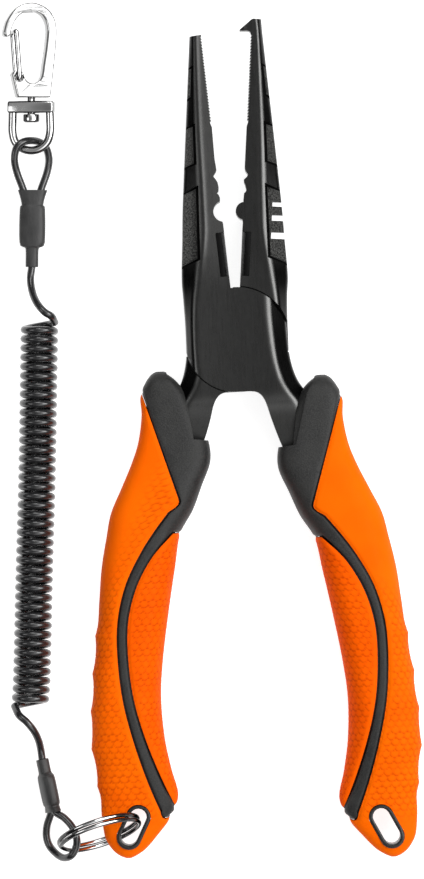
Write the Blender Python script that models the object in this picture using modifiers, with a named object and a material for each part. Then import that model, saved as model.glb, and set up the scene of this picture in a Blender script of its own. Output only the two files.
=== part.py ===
"""Fishing pliers with a coiled lanyard, lying flat and held open by their spring.

Frame: +Z up, the jaws point along +Y, and the origin is on the pivot axis at the flat front
face of the joint. Lengths are in millimetres and angles in degrees; MM turns a length to metres.
"""

import math

import bmesh
import bpy
from mathutils import Matrix, Vector

MM = 0.001
GAP = 0.3                       # air left between touching pieces

# Joint
JOINT_RADIUS = 13.1
JOINT_THICKNESS = 11.0
MID_Z = -JOINT_THICKNESS / 2
FRONT_OPENING = 4.1             # each half's turn from the closed position
REAR_OPENING = 4.9
PIN_RADIUS = 3.0
PIN_CLEARANCE = 0.15
PIN_HEAD_RADIUS = 4.6
PIN_HEAD_HEIGHT = 1.6
PIN_TIP_DEPTH = 1.4             # how far the pin ends below the front face
SPRING_RADIUS = 6.0
SPRING_WIRE = 1.0
SPRING_TURNS = 2.25
SPRING_PITCH = 1.2
SPRING_POCKET_DEPTH = 2.05

# Jaws
TOOTH_PITCH = 0.6
TOOTH_DEPTH = 0.3
SERRATION_TOP = 76.4
SERRATION_BOTTOM = 54.2
EDGE_SHARE = 0.5                # thickness of the bevelled outer edge as a share of the jaw's
BUMP_Y = 32.2                   # crimping bump and its hollow
BUMP_RADIUS = 2.2
HOLLOW_RADIUS = 2.6
BLADE_LOW, BLADE_HIGH = 16.0, 27.0
BLADE_WIDTH = 2.3
SLOT_PLACES = ((34.2, 1.1), (30.8, 1.4), (26.4, 1.6))
SLOT_START = 7.4

# Handles
GRIP_POWER = 2.5                # superellipse power of a grip's section
GRIP_SIDES = 16
GRIP_WALL = 2.2
REST_HALF = 8.3                 # half thickness at the flats the pliers lie on
TABLE_Z = MID_Z - REST_HALF
RIGHT_SHIFT = (0.9, -2.5)       # the right handle sits a little lower than a true mirror image
CORE_END = -112.5
HOLE_CENTRE = (-31.1, -120.4)
HOLE_LEAN = 27.0
HOLE_LENGTH = 5.6               # between the centres of the slot's round ends
HOLE_RADIUS = 2.1
BUSH_RADIUS = 3.1
BUSH_HALF = 4.2

# Lanyard
CORD_RADIUS = 0.95
COIL_RADIUS = 4.8
COIL_Z = TABLE_Z + COIL_RADIUS
RING_CENTRE = (-39.8, -121.5, -2.95)
RING_RADIUS = 10.3
RING_WIRE = 0.55
RING_STEP = 1.25                # distance between the ring's two turns
RING_TURN, RING_TILT = 16.0, 73.0
SWIVEL_CENTRE = (-49.0, 60.8, -10.5)
LANYARD_TURN = -2.5             # the snap hook's lean in the plane of the table
HOOK_ROLL, BOW_ROLL = 12.0, -12.0
HOOK_HALF = 2.0
BOW_WIRE = 1.05
BOW_REACH = 11.0
BOW_HALF_WIDTH = 4.85
GATE_WIRE = 0.6
GATE_HINGE = (-3.45, 7.3)
SWIVEL_RADIUS = 0.95

PARTS_COLLECTION = "fishing_pliers"
CUTTERS_COLLECTION = "cutters"


# Scene, materials and shared tools

def clear_scene():
    for item in list(bpy.data.objects):
        bpy.data.objects.remove(item, do_unlink=True)


def material(name, colour, roughness, metallic=0.0):
    made = bpy.data.materials.get(name)
    if made:
        return made
    made = bpy.data.materials.new(name)
    made.use_nodes = True
    shader = made.node_tree.nodes["Principled BSDF"]
    shader.inputs["Base Color"].default_value = (*colour, 1.0)
    shader.inputs["Roughness"].default_value = roughness
    shader.inputs["Metallic"].default_value = metallic
    return made


def black_steel():
    return material("black_steel", (0.05, 0.05, 0.048), 0.38, 0.85)


def hardened_steel():
    return material("hardened_steel", (0.012, 0.012, 0.012), 0.3, 0.9)


def spring_steel():
    return material("spring_steel", (0.45, 0.45, 0.46), 0.3, 1.0)


def chrome():
    return material("chrome", (0.75, 0.76, 0.78), 0.08, 1.0)


def grip_orange():
    return material("grip_orange", (1.0, 0.16, 0.0), 0.5)


def core_black():
    return material("core_black", (0.03, 0.031, 0.032), 0.55)


def bush_black():
    return material("bush_black", (0.008, 0.008, 0.008), 0.35)


def cord_black():
    return material("cord_black", (0.02, 0.02, 0.021), 0.12)


def sleeve_black():
    return material("sleeve_black", (0.018, 0.018, 0.018), 0.6)


def ferrule_aluminium():
    return material("ferrule_aluminium", (0.6, 0.6, 0.6), 0.35, 1.0)


def collection(name):
    found = bpy.data.collections.get(name)
    if not found:
        found = bpy.data.collections.new(name)
        bpy.context.scene.collection.children.link(found)
    return found


def add_object(name, data):
    """Every shape starts among the cutters; finish moves a real piece out of them."""
    item = bpy.data.objects.new(name, data)
    collection(CUTTERS_COLLECTION).objects.link(item)
    return item


def to_parts(item):
    for home in list(item.users_collection):
        home.objects.unlink(item)
    collection(PARTS_COLLECTION).objects.link(item)


def axis_empty(name, place, rotation=(0, 0, 0), parent=None):
    item = add_object(name, None)
    to_parts(item)
    item.empty_display_size = 5 * MM
    item.location = Vector(place) * MM
    item.rotation_euler = [math.radians(angle) for angle in rotation]
    if parent:
        bpy.context.view_layer.update()
        item.parent = parent
        item.matrix_parent_inverse = parent.matrix_world.inverted()
    return item


def finish(item, shade, parent=None):
    """Give a piece its material and hang it on its axis empty where it is."""
    to_parts(item)
    item.data.materials.clear()
    item.data.materials.append(shade)
    if parent:
        bpy.context.view_layer.update()
        item.parent = parent
        item.matrix_parent_inverse = parent.matrix_world.inverted()
    return item


def mesh_from_rings(name, rings, closed_way=False):
    """Loft between rings of equally many points; a closed way joins the last ring to the first."""
    bm = bmesh.new()
    loops = [[bm.verts.new(Vector(point) * MM) for point in ring] for ring in rings]
    pairs = list(zip(loops, loops[1:]))
    if closed_way:
        pairs.append((loops[-1], loops[0]))
    for low, high in pairs:
        for k in range(len(low)):
            after = (k + 1) % len(low)
            bm.faces.new((low[k], low[after], high[after], high[k]))
    if not closed_way:
        bm.faces.new(loops[0])
        bm.faces.new(loops[-1])
    bmesh.ops.recalc_face_normals(bm, faces=bm.faces)
    bmesh.ops.triangulate(bm, faces=bm.faces)
    mesh = bpy.data.meshes.new(name)
    bm.to_mesh(mesh)
    bm.free()
    return add_object(name, mesh)


def curve_data(name, points, cyclic=False):
    curve = bpy.data.curves.new(name, "CURVE")
    spline = curve.splines.new("POLY")
    spline.points.add(len(points) - 1)
    for spot, point in zip(spline.points, points):
        spot.co = (*(Vector(point) * MM), 1.0)
    spline.use_cyclic_u = cyclic
    return curve


def tube(name, points, radius, resolution=2):
    curve = curve_data(name, points)
    curve.dimensions = "3D"
    curve.bevel_depth = radius * MM
    curve.bevel_resolution = resolution
    curve.use_fill_caps = True
    return add_object(name, curve)


def to_mesh(item):
    """Turn a curve object into a closed mesh object with welded caps."""
    bpy.context.view_layer.update()
    name = item.name
    mesh = bpy.data.meshes.new_from_object(item.evaluated_get(bpy.context.evaluated_depsgraph_get()))
    matrix = item.matrix_world.copy()
    bpy.data.objects.remove(item)
    bm = bmesh.new()
    bm.from_mesh(mesh)
    bmesh.ops.remove_doubles(bm, verts=bm.verts, dist=0.002 * MM)
    bmesh.ops.recalc_face_normals(bm, faces=bm.faces)
    bm.to_mesh(mesh)
    bm.free()
    made = add_object(name, mesh)
    made.matrix_world = matrix
    return made


def prism(name, outline, low, high):
    """A flat outline in XY, filled and given its thickness from low to high."""
    curve = curve_data(name, [(x, y, 0) for x, y in outline], cyclic=True)
    curve.dimensions = "2D"
    curve.fill_mode = "BOTH"
    curve.extrude = (high - low) / 2 * MM
    item = add_object(name, curve)
    item.location.z = (low + high) / 2 * MM
    return to_mesh(item)


def cylinder(name, radius, low, high, segments=24):
    """A cylinder about Z from low to high."""
    middle = (low + high) / 2 * MM
    bpy.ops.mesh.primitive_cylinder_add(vertices=segments, radius=radius * MM,
                                        depth=(high - low) * MM, location=(0, 0, middle))
    made = bpy.context.object
    item = add_object(name, made.data)
    item.matrix_world = made.matrix_world.copy()
    bpy.data.objects.remove(made)
    bpy.context.view_layer.update()
    return item


def turned(name, profile, segments=32):
    """A solid of revolution about Z from (radius, z) pairs, top to bottom."""
    mesh = bpy.data.meshes.new(name)
    line = [(0, profile[0][1]), *profile, (0, profile[-1][1])]
    points = [(radius * MM, 0, z * MM) for radius, z in line]
    mesh.from_pydata(points, [(k, k + 1) for k in range(len(points) - 1)], [])
    item = add_object(name, mesh)
    screw = item.modifiers.new("Screw", "SCREW")
    screw.steps = screw.render_steps = segments
    screw.use_merge_vertices = True
    screw.merge_threshold = 0.00001
    bpy.context.view_layer.objects.active = item
    bpy.ops.object.modifier_apply(modifier=screw.name)
    return item


def combine(target, tool, operation):
    """Apply a Boolean with another object, which is used up."""
    modifier = target.modifiers.new(operation.title(), "BOOLEAN")
    modifier.operation = operation
    modifier.object = tool
    bpy.context.view_layer.objects.active = target
    bpy.ops.object.modifier_apply(modifier=modifier.name)
    bpy.data.objects.remove(tool)
    return target


def move(item, matrix):
    """Place a piece by a matrix whose offset is in millimetres."""
    placed = matrix.copy()
    placed.translation = matrix.translation * MM
    item.matrix_world = placed @ item.matrix_world
    bpy.context.view_layer.update()
    return item


def duplicate(item, name):
    return add_object(name, item.data.copy())


def through(points, steps):
    """Points on a smooth curve that passes through each given point (Catmull-Rom)."""
    points = [Vector(point) for point in points]
    padded = [points[0] * 2 - points[1], *points, points[-1] * 2 - points[-2]]
    made = []
    for a, b, c, d in zip(padded, padded[1:], padded[2:], padded[3:]):
        for k in range(steps):
            t = k / steps
            made.append(0.5 * (2 * b + (c - a) * t + (2 * a - 5 * b + 4 * c - d) * t ** 2
                               + (3 * b - a - 3 * c + d) * t ** 3))
    made.append(points[-1])
    return made


def arc(centre, radius, start, end, steps):
    """Points on a circular arc, both ends included, angles from +X."""
    turns = [math.radians(start + (end - start) * k / steps) for k in range(steps + 1)]
    return [(centre[0] + radius * math.cos(a), centre[1] + radius * math.sin(a)) for a in turns]


def rounded(reach, turn, power):
    """One coordinate of a superellipse."""
    return reach * math.copysign(abs(turn) ** (2 / power), turn)


def rotated(points, angle):
    """Flat points turned about the pivot."""
    cosine, sine = math.cos(math.radians(angle)), math.sin(math.radians(angle))
    return [(x * cosine - y * sine, x * sine + y * cosine) for x, y in points]


# Levers. Both are drawn with the jaw on the +X side, closed, and the tang on the -X side.
# A row is y, outer or left edge, left ridge, right ridge, right edge, half thickness.

JAW_ROWS = [
    (80.8, -3.4, -3.3, 1.5, 2.6, 2.6),
    (76.4, -3.4, -3.3, 2.2, 3.2, 2.8),
    (63.5, -3.4, -3.3, 3.3, 5.2, 3.4),
    (52.0, -3.4, -3.3, 4.1, 7.0, 4.0),
    (34.5, -3.4, -3.3, 5.1, 9.7, 4.85),
    (26.0, -3.0, -2.9, 5.9, 10.8, 5.25),
    (16.8, -1.6, -1.5, 8.0, 12.0, 5.5),
]
JOINT_ROWS = [
    (13.4, -12.4, -8.0, 10.4, 13.0, 5.5),
    (4.0, -12.4, -8.2, 11.0, 12.4, 5.5),
    (-4.0, -12.9, -9.0, 11.0, 12.3, 5.5),
    (-9.5, -14.2, -10.3, 10.5, 12.0, 5.5),
    (-13.2, -16.3, -12.0, 9.0, 11.0, 5.4),
]
NECK_ROWS = [
    (-13.4, -16.4, -12.1, -4.6, -3.6, 5.4),
    (-16.0, -18.2, -13.6, -7.2, -6.3, 5.0),
    (-19.5, -19.3, -15.3, -8.1, -7.2, 4.4),
]
TANG_ROWS = [
    (-24.5, -20.2, -17.6, -10.2, -9.2, 3.7),
    (-30.0, -21.4, -20.0, -12.8, -11.8, 3.0),
    (-38.0, -23.4, -22.4, -16.4, -15.6, 3.0),
    (-50.0, -27.6, -26.8, -21.8, -21.0, 3.0),
    (-60.0, -31.0, -30.2, -25.4, -24.6, 3.0),
    (-80.0, -33.5, -32.7, -28.4, -27.6, 3.0),
    (-106.0, -34.4, -33.6, -29.4, -28.6, 3.0),
]


def shifted(rows, shift):
    return [(y + shift[1], *(x + shift[0] for x in edges), half) for y, *edges, half in rows]


def bar_ring(row, grow=0.0):
    """Eight corners of a lever's section: a flat front and back with bevelled edges."""
    y, left, left_ridge, right_ridge, right, half = row
    half += grow
    edge = half * EDGE_SHARE
    front = [(left - grow, edge), (left_ridge - grow, half),
             (right_ridge + grow, half), (right + grow, edge)]
    back = [(x, -z) for x, z in reversed(front)]
    return [(x, y, MID_Z + z) for x, z in front + back]


def turned_ring(ring, angle):
    """A jaw's section, turned about the pivot to where the jaw stands."""
    flat = rotated([(x, y) for x, y, z in ring], angle)
    return [(x, y, corner[2]) for (x, y), corner in zip(flat, ring)]


def serrations(edge_x):
    """A row of fine teeth down the gripping edge."""
    count = round((SERRATION_TOP - SERRATION_BOTTOM) / TOOTH_PITCH)
    points = []
    for k in range(count):
        y = SERRATION_TOP - k * TOOTH_PITCH
        points += [(edge_x, y), (edge_x + TOOTH_DEPTH, y - TOOTH_PITCH / 2)]
    return points


def hooked_jaw_edge():
    """Inner edge of the jaw with the hooked tip and the crimping bump, tip to pivot."""
    half = GAP / 2
    tip = [(16, 80.4), (0.6, 80.3), (-2.6, 77.35), (-2.5, 77.1), (-0.1, 77.2), (half, 76.8)]
    crimper = [(half, 53.4), (0.2, 42.6), (1.1, 41.3), (half, 39.9), (0.4, 38.7),
               (0.8, 37.3), (0.25, 36.7), (0.2, 34.9)]
    bump = arc((0.55, BUMP_Y), BUMP_RADIUS, 100, 260, 10)
    return tip + serrations(half) + crimper + bump + [(0.2, 29.4), (half, 27.4), (half, 12.5)]


def plain_jaw_edge():
    """Inner edge of the shorter jaw with the crimping hollow, drawn with its jaw at +X too."""
    half = GAP / 2
    tip = [(16, 76.1), (half, 76.7)]
    crimper = [(half, 53.4), (0.4, 45.4), (0.3, 42.6), (1.3, 41.2), (0.6, 40.2), (0.3, 39.3),
               (0.3, 37.4), (0.8, 36.7), (0.25, 35.9)]
    hollow = arc((-0.35, BUMP_Y), HOLLOW_RADIUS, 77, -77, 10)
    return tip + serrations(half) + crimper + hollow + [(half, 29.0), (half, 12.5)]


def lever_outline(jaw_edge, opening):
    """Silhouette of a lever: jaw edge, joint disc, and open sides where the loft ends it."""
    jaw = rotated(jaw_edge, -opening)
    left_disc = arc((0, 0), JOINT_RADIUS, 92 - opening, 196, 26)
    right_disc = arc((0, 0), JOINT_RADIUS, -107, -10, 22)
    tang_side = [(-48, left_disc[-1][1]), (-48, -114), (right_disc[0][0], -114)]
    return jaw + left_disc + tang_side + right_disc + [(24, right_disc[-1][1]), (24, 80)]


def pocket_outline(ridge_top, ridge_bottom, top, bottom, lean):
    """A recess in the bevel, open to the outside, with ends that slant by lean."""
    return [(ridge_top, top), (ridge_bottom, bottom), (18, bottom - lean), (18, top - lean)]


POCKETS = [
    (pocket_outline(2.95, 4.0, 69.4, 61.2, 6.0), 1.0),
    (pocket_outline(4.25, 5.0, 54.9, 44.6, 4.0), 1.7),
    (pocket_outline(5.2, 6.8, 39.4, 20.8, 4.0), 2.5),
]


def jaw_half_thickness(y):
    rows = sorted((row[0], row[5]) for row in JAW_ROWS)
    for (low, thin), (high, thick) in zip(rows, rows[1:]):
        if low <= y <= high:
            return thin + (thick - thin) * (y - low) / (high - low)
    return rows[0][1]


def cut_pockets(lever, opening):
    for outline, depth in POCKETS:
        middle = (outline[0][1] + outline[1][1]) / 2
        floor = jaw_half_thickness(middle) - depth
        flat = rotated(outline, -opening)
        combine(lever, prism("front_pocket", flat, MID_Z + floor, 3), "DIFFERENCE")
        combine(lever, prism("back_pocket", flat, -JOINT_THICKNESS - 3, MID_Z - floor), "DIFFERENCE")


def cut_blade_seat(lever, opening):
    seat = [(-4, BLADE_LOW - GAP), (BLADE_WIDTH + GAP, BLADE_LOW - GAP),
            (BLADE_WIDTH + GAP, BLADE_HIGH + GAP), (-4, BLADE_HIGH + GAP)]
    combine(lever, prism("blade_seat", rotated(seat, -opening), -12, 1), "DIFFERENCE")


def cut_edge_slots(lever, opening):
    for middle, width in SLOT_PLACES:
        slot = [(SLOT_START, middle - width / 2), (20, middle - width / 2),
                (20, middle + width / 2), (SLOT_START, middle + width / 2)]
        combine(lever, prism("edge_slot", rotated(slot, -opening), -12, 1), "DIFFERENCE")


def cut_lap(lever, low, high):
    """Take away the half of the joint's thickness that the other lever's disc fills."""
    combine(lever, cylinder("lap", JOINT_RADIUS + GAP, low, high, 72), "DIFFERENCE")


def cut_spring_pocket(lever, low, high):
    reach = SPRING_WIRE / 2 + GAP + 0.1
    outer, inner = SPRING_RADIUS + reach, SPRING_RADIUS - reach
    pocket = cylinder("spring_pocket", outer, low, high, 40)
    post = cylinder("spring_post", inner, low - 1, high + 1, 40)
    combine(lever, combine(pocket, post, "DIFFERENCE"), "DIFFERENCE")


def lever_blank(name, jaw_edge, opening, handle_shift):
    rings = [turned_ring(bar_ring(row), -opening) for row in JAW_ROWS]
    rings += [bar_ring(row) for row in JOINT_ROWS + NECK_ROWS + shifted(TANG_ROWS, handle_shift)]
    blank = mesh_from_rings(name, rings)
    outline = prism("outline", lever_outline(jaw_edge, opening), -14, 3)
    return combine(blank, outline, "INTERSECT")


def mirror_x(item, shift=(0.0, 0.0)):
    """Mirror a piece's own mesh in the plane x = 0 and move it in the plane of the table."""
    item.data.transform(Matrix.Translation((shift[0] * MM, shift[1] * MM, 0)) @ Matrix.Scale(-1, 4, (1, 0, 0)))
    item.data.flip_normals()
    return item


def rear_lever():
    lever = lever_blank("rear_lever", hooked_jaw_edge(), REAR_OPENING, (0, 0))
    cut_lap(lever, MID_Z - GAP / 2, 1)
    cut_pockets(lever, REAR_OPENING)
    cut_blade_seat(lever, REAR_OPENING)
    cut_edge_slots(lever, REAR_OPENING)
    cut_spring_pocket(lever, MID_Z - SPRING_POCKET_DEPTH, MID_Z + 1)
    hole = pin_solid("pin_hole", GAP)
    return finish(combine(lever, hole, "DIFFERENCE"), black_steel())


def front_lever(axis):
    lever = lever_blank("front_lever", plain_jaw_edge(), FRONT_OPENING, (-RIGHT_SHIFT[0], RIGHT_SHIFT[1]))
    cut_lap(lever, -JOINT_THICKNESS - 1, MID_Z + GAP / 2)
    cut_pockets(lever, FRONT_OPENING)
    cut_blade_seat(lever, FRONT_OPENING)
    cut_spring_pocket(lever, MID_Z - 1, MID_Z + SPRING_POCKET_DEPTH)
    bore = cylinder("pin_bore", PIN_RADIUS + PIN_CLEARANCE, -12, -PIN_TIP_DEPTH + GAP, 32)
    combine(lever, bore, "DIFFERENCE")
    return finish(mirror_x(lever), black_steel(), axis)


def pin_solid(name, grow=0.0):
    """Countersunk pivot pin, flush with the rear face; grown, it is the hole it sits in."""
    back = -JOINT_THICKNESS
    neck = back + PIN_HEAD_HEIGHT
    return turned(name, [
        (PIN_RADIUS + grow, -PIN_TIP_DEPTH + grow),
        (PIN_RADIUS + grow, neck + grow),
        (PIN_HEAD_RADIUS + grow, back + 0.5 + grow),
        (PIN_HEAD_RADIUS + grow, back - grow),
    ])


def return_spring():
    """Two turns of wire in the ring-shaped pocket between the two discs."""
    steps = 40
    points = []
    for k in range(steps + 1):
        angle = 2 * math.pi * SPRING_TURNS * k / steps
        z = MID_Z + SPRING_PITCH * SPRING_TURNS * (k / steps - 0.5)
        points.append((SPRING_RADIUS * math.cos(angle), SPRING_RADIUS * math.sin(angle), z))
    return finish(tube("return_spring", points, SPRING_WIRE / 2, 1), spring_steel())


def cutter_blade(name, opening):
    """A replaceable blade: its section in X and Z narrows to the cutting edge."""
    edge = GAP / 2
    top = MID_Z + 5.0
    bottom = MID_Z - 5.0
    section = [(BLADE_WIDTH, top), (1.0, top), (edge, MID_Z + 0.6),
               (edge, MID_Z - 0.6), (1.0, bottom), (BLADE_WIDTH, bottom)]
    rings = [[(x, y, z) for x, z in section] for y in (BLADE_LOW, BLADE_HIGH)]
    return mesh_from_rings(name, [turned_ring(ring, -opening) for ring in rings])


# Handles. Each is drawn as the left one; the right one is its mirror image, shifted.
# A row is y, outer edge, inner edge, half thickness.

GRIP_ROWS = [
    (-7.1, -20.7, -18.6, 2.6),
    (-7.9, -22.0, -16.8, 4.4),
    (-9.8, -23.4, -14.6, 5.9),
    (-13.0, -24.8, -12.4, 6.5),
    (-18.0, -24.7, -10.4, 6.9),
    (-24.5, -25.8, -8.3, 7.2),
    (-30.0, -27.8, -8.0, 7.5),
    (-36.0, -30.6, -10.4, 7.9),
    (-42.0, -33.4, -12.9, 8.2),
    (-48.0, -34.8, -16.4, 8.6),
    (-56.0, -36.4, -18.0, 9.0),
    (-66.0, -37.5, -19.9, 9.0),
    (-78.0, -39.0, -21.9, 9.0),
    (-88.0, -40.0, -22.9, 9.0),
    (-98.0, -40.6, -22.5, 7.8),
    (-106.0, -39.9, -21.2, 6.4),
    (-113.0, -39.1, -19.7, 4.9),
    (-118.5, -38.9, -21.8, 4.1),
    (-123.0, -38.3, -25.4, 4.0),
    (-126.0, -36.6, -28.2, 3.4),
    (-127.5, -34.9, -30.4, 2.5),
    (-128.2, -33.4, -31.9, 1.3),
]
STRIPE_LINE = [
    (-17.4, -43.8), (-21.4, -48.2), (-25.3, -53.2), (-29.2, -60.5), (-31.5, -69.0), (-31.9, -78.0),
    (-31.0, -88.5), (-28.6, -98.9), (-25.3, -109.0), (-21.9, -117.4), (-20.2, -122.0),
]
STRIPE_HALF_WIDTHS = [2.3, 1.9, 1.5, 1.4, 1.35, 1.35, 1.4, 1.55, 1.8, 2.0, 2.1]
CAP_EDGE = [(-16.6, -4.0), (-15.6, -8.2), (-14.3, -10.4), (-13.2, -15.0), (-11.9, -24.4), (-8.0, -24.8), (2, -24.8), (2, -4.0)]


def grip_ring(row, wall=0.0):
    y, outer, inner, half = row
    centre = (outer + inner) / 2
    reach = max((inner - outer) / 2 - wall, 0.4)
    half = max(half - wall, 0.4)
    ring = []
    for k in range(GRIP_SIDES):
        angle = 2 * math.pi * k / GRIP_SIDES
        x = rounded(reach, math.cos(angle), GRIP_POWER)
        z = rounded(half, math.sin(angle), GRIP_POWER)
        ring.append((centre + x, y, MID_Z + max(-REST_HALF, min(REST_HALF, z))))
    return ring


def grip_body(name):
    return mesh_from_rings(name, [grip_ring(row) for row in GRIP_ROWS])


def grip_inside(name, wall, end):
    """The grip's form set in by its wall, between the cap and the lanyard hole."""
    rows = [row for row in GRIP_ROWS if end < row[0] < -9]
    nearer, further = [row for row in GRIP_ROWS if row[0] > end][-1], [row for row in GRIP_ROWS if row[0] <= end][0]
    share = (nearer[0] - end) / (nearer[0] - further[0])
    rows.append(tuple(a + (b - a) * share for a, b in zip(nearer, further)))
    return mesh_from_rings(name, [grip_ring(row, wall) for row in rows])


def stripe_side(side, widen=0.0):
    """One edge of the dark stripe: -1 is the outer side, +1 the inner side."""
    line = [(*point, width) for point, width in zip(STRIPE_LINE, STRIPE_HALF_WIDTHS)]
    points = through(line, 2)
    edge = []
    for k, (x, y, width) in enumerate(points):
        ahead = points[min(k + 1, len(points) - 1)]
        behind = points[max(k - 1, 0)]
        along = Vector((ahead[0] - behind[0], ahead[1] - behind[1])).normalized()
        across = Vector((-along.y, along.x)) * side
        edge.append((x + across.x * (width + widen), y + across.y * (width + widen)))
    return edge


def outer_region(widen=0.0):
    """Plan of the outer grip: everything outside the cap's slanting edge and the stripe."""
    slant = [(-26.4 + widen, -6.0), (-16.4 + widen, -39.4), (-17.3 + widen, -41.0)]
    stripe = stripe_side(-1, -widen)
    return slant + stripe + [(-20, -140), (-60, -140), (-60, -6.0)]


def inner_region(widen=0.0):
    """Plan of the inner grip: everything inside the stripe, below the finger guard."""
    start = [(0, -47.6 + widen), (-18.4 - widen / 2, -47.6 + widen)]
    stripe = [point for point in stripe_side(1, -widen) if point[1] < -50.0]
    return start + stripe + [(0, stripe[-1][1])]


def slot_outline(radius):
    """Rounded slot of the lanyard hole, leaning with the handle's end."""
    half = HOLE_LENGTH / 2
    ends = arc((half, 0), radius, -90, 90, 8) + arc((-half, 0), radius, 90, 270, 8)
    lean = rotated(ends, 90 - HOLE_LEAN)
    return [(x + HOLE_CENTRE[0], y + HOLE_CENTRE[1]) for x, y in lean]


def lanyard_hole(item):
    return combine(item, prism("lanyard_hole", slot_outline(BUSH_RADIUS + GAP), -20, 8), "DIFFERENCE")


def handle_core(name, neck_shift):
    """Hard insert: cap, finger guard and stripe at the surface, and the body under the grips."""
    skin = grip_body("skin")
    combine(skin, prism("outer_cut", outer_region(GAP), -20, 8), "DIFFERENCE")
    combine(skin, prism("inner_cut", inner_region(GAP), -20, 8), "DIFFERENCE")
    core = combine(grip_inside(name, GRIP_WALL + GAP, CORE_END), skin, "UNION")
    combine(core, prism("cap_cut", CAP_EDGE, -20, 8), "DIFFERENCE")
    rows = shifted(NECK_ROWS, neck_shift) + TANG_ROWS
    rows[0] = (rows[0][0] + 8, *rows[0][1:])
    rows[-1] = (rows[-1][0] - GAP, *rows[-1][1:])
    combine(core, mesh_from_rings("tang_seat", [bar_ring(row, GAP) for row in rows]), "DIFFERENCE")
    return core


def outer_grip(name):
    grip = combine(grip_body(name), prism("outer_plan", outer_region(), -20, 8), "INTERSECT")
    combine(grip, grip_inside("core_room", GRIP_WALL, CORE_END - GAP), "DIFFERENCE")
    combine(grip, prism("cap_cut", CAP_EDGE, -20, 8), "DIFFERENCE")
    return lanyard_hole(grip)


def inner_grip(name):
    grip = combine(grip_body(name), prism("inner_plan", inner_region(), -20, 8), "INTERSECT")
    return combine(grip, grip_inside("core_room", GRIP_WALL, CORE_END - GAP), "DIFFERENCE")


def lanyard_bush(name):
    bush = prism(name, slot_outline(BUSH_RADIUS), MID_Z - BUSH_HALF, MID_Z + BUSH_HALF)
    return combine(bush, prism("bush_hole", slot_outline(HOLE_RADIUS), -20, 8), "DIFFERENCE")


def handle(side, axis=None):
    right = side == "right"
    neck_shift = (RIGHT_SHIFT[0], -RIGHT_SHIFT[1]) if right else (0, 0)
    pieces = [
        (handle_core(f"{side}_handle_core", neck_shift), core_black()),
        (outer_grip(f"{side}_outer_grip"), grip_orange()),
        (inner_grip(f"{side}_inner_grip"), grip_orange()),
        (lanyard_bush(f"{side}_lanyard_bush"), bush_black()),
    ]
    for item, shade in pieces:
        if right:
            item.data.transform(item.matrix_world)
            item.matrix_world = Matrix()
            mirror_x(item, RIGHT_SHIFT)
        finish(item, shade, axis)


# Lanyard

COIL_LINE = [(-49.2, 7.2), (-51.4, -29.5), (-53.2, -54.5), (-55.0, -81.2), (-55.9, -90.2)]
UPPER_LEAD = [(-50.6, 20.9, -11.0), (-51.1, 17.6, -10.6), (-50.7, 14.2, -9.0), (-49.6, 11.4, -7.0),
              (-47.9, 9.4, -5.8), (-46.1, 8.6, -6.4), (-45.3, 8.55, -8.3)]
LOWER_LEAD = [(-59.7, -91.6, -8.2), (-58.6, -92.2, -6.2), (-56.7, -93.4, -5.5), (-55.0, -95.6, -6.4),
              (-54.0, -98.2, -8.2), (-53.6, -100.6, -9.5), (-53.4, -103.0, -9.8)]
UPPER_MOUTH, UPPER_NECK_END = (-49.6, 39.9, -11.0), (-50.6, 20.7, -11.0)
LOWER_MOUTH, LOWER_NECK_END = (-51.2, -116.1, -9.8), (-53.4, -102.8, -9.8)
UPPER_LOOP = [(-2.0, -20.9, -11.0), (-3.6, -16.5, -10.2), (-4.2, -13.2, -9.2), (-3.6, -10.3, -8.8),
              (-2.0, -8.9, -9.2), (0.1, -8.5, -10.6), (2.2, -8.9, -12.2), (3.7, -10.3, -12.75),
              (4.4, -13.2, -12.4), (3.9, -16.5, -11.6), (2.4, -20.9, -11.0)]
LOWER_LOOP = [(-51.8, -116.4, -11.4), (-53.0, -119.8, -12.3), (-53.2, -122.9, -12.6),
              (-52.1, -125.5, -11.8), (-49.5, -127.6, -9.1), (-47.1, -127.1, -6.4),
              (-45.7, -124.7, -6.2), (-45.6, -122.3, -5.6), (-46.6, -119.8, -6.2),
              (-48.5, -117.6, -7.2), (-50.6, -116.1, -8.1)]
LEG_SPREAD = 1.1                # half the distance between a loop's two legs inside its sleeve


def sleeve_matrix(mouth, neck_end, roll):
    """X across the sleeve's wide side, Y from its mouth to its neck, Z through its thin side."""
    way = (Vector(neck_end) - Vector(mouth)).normalized()
    wide = Vector((0, 0, 1)).cross(way).normalized() * -1
    wide = Matrix.Rotation(math.radians(roll), 3, way) @ wide
    return Matrix.Translation(mouth) @ Matrix((wide, way, wide.cross(way))).transposed().to_4x4()


def oval(y, wide, thin, sides=16):
    turns = [2 * math.pi * k / sides for k in range(sides)]
    return [(rounded(wide, math.cos(a), 3), y, rounded(thin, math.sin(a), 3)) for a in turns]


def shrink_tube(name, flare, body, length, matrix):
    """Heat-shrunk sleeve: flared over the loop's legs, wide over the ferrule, tight on the cord."""
    outside = [(0, 3.7, 1.55), (flare - 0.6, 2.75, 1.55), (flare + 0.5, 3.2, 1.85),
               (flare + body, 3.2, 1.85), (flare + body + 1.4, 1.6, 1.5), (length, 1.6, 1.5)]
    inside = [(length, 1.28, 1.28), (flare + body + 1.2, 1.28, 1.28), (flare + body + 0.1, 2.85, 1.55),
              (flare + 0.5, 2.85, 1.55), (flare - 0.6, 2.5, 1.28), (0, 3.4, 1.28)]
    item = mesh_from_rings(name, [oval(*row) for row in outside + inside], closed_way=True)
    return finish(move(item, matrix), sleeve_black())


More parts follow.
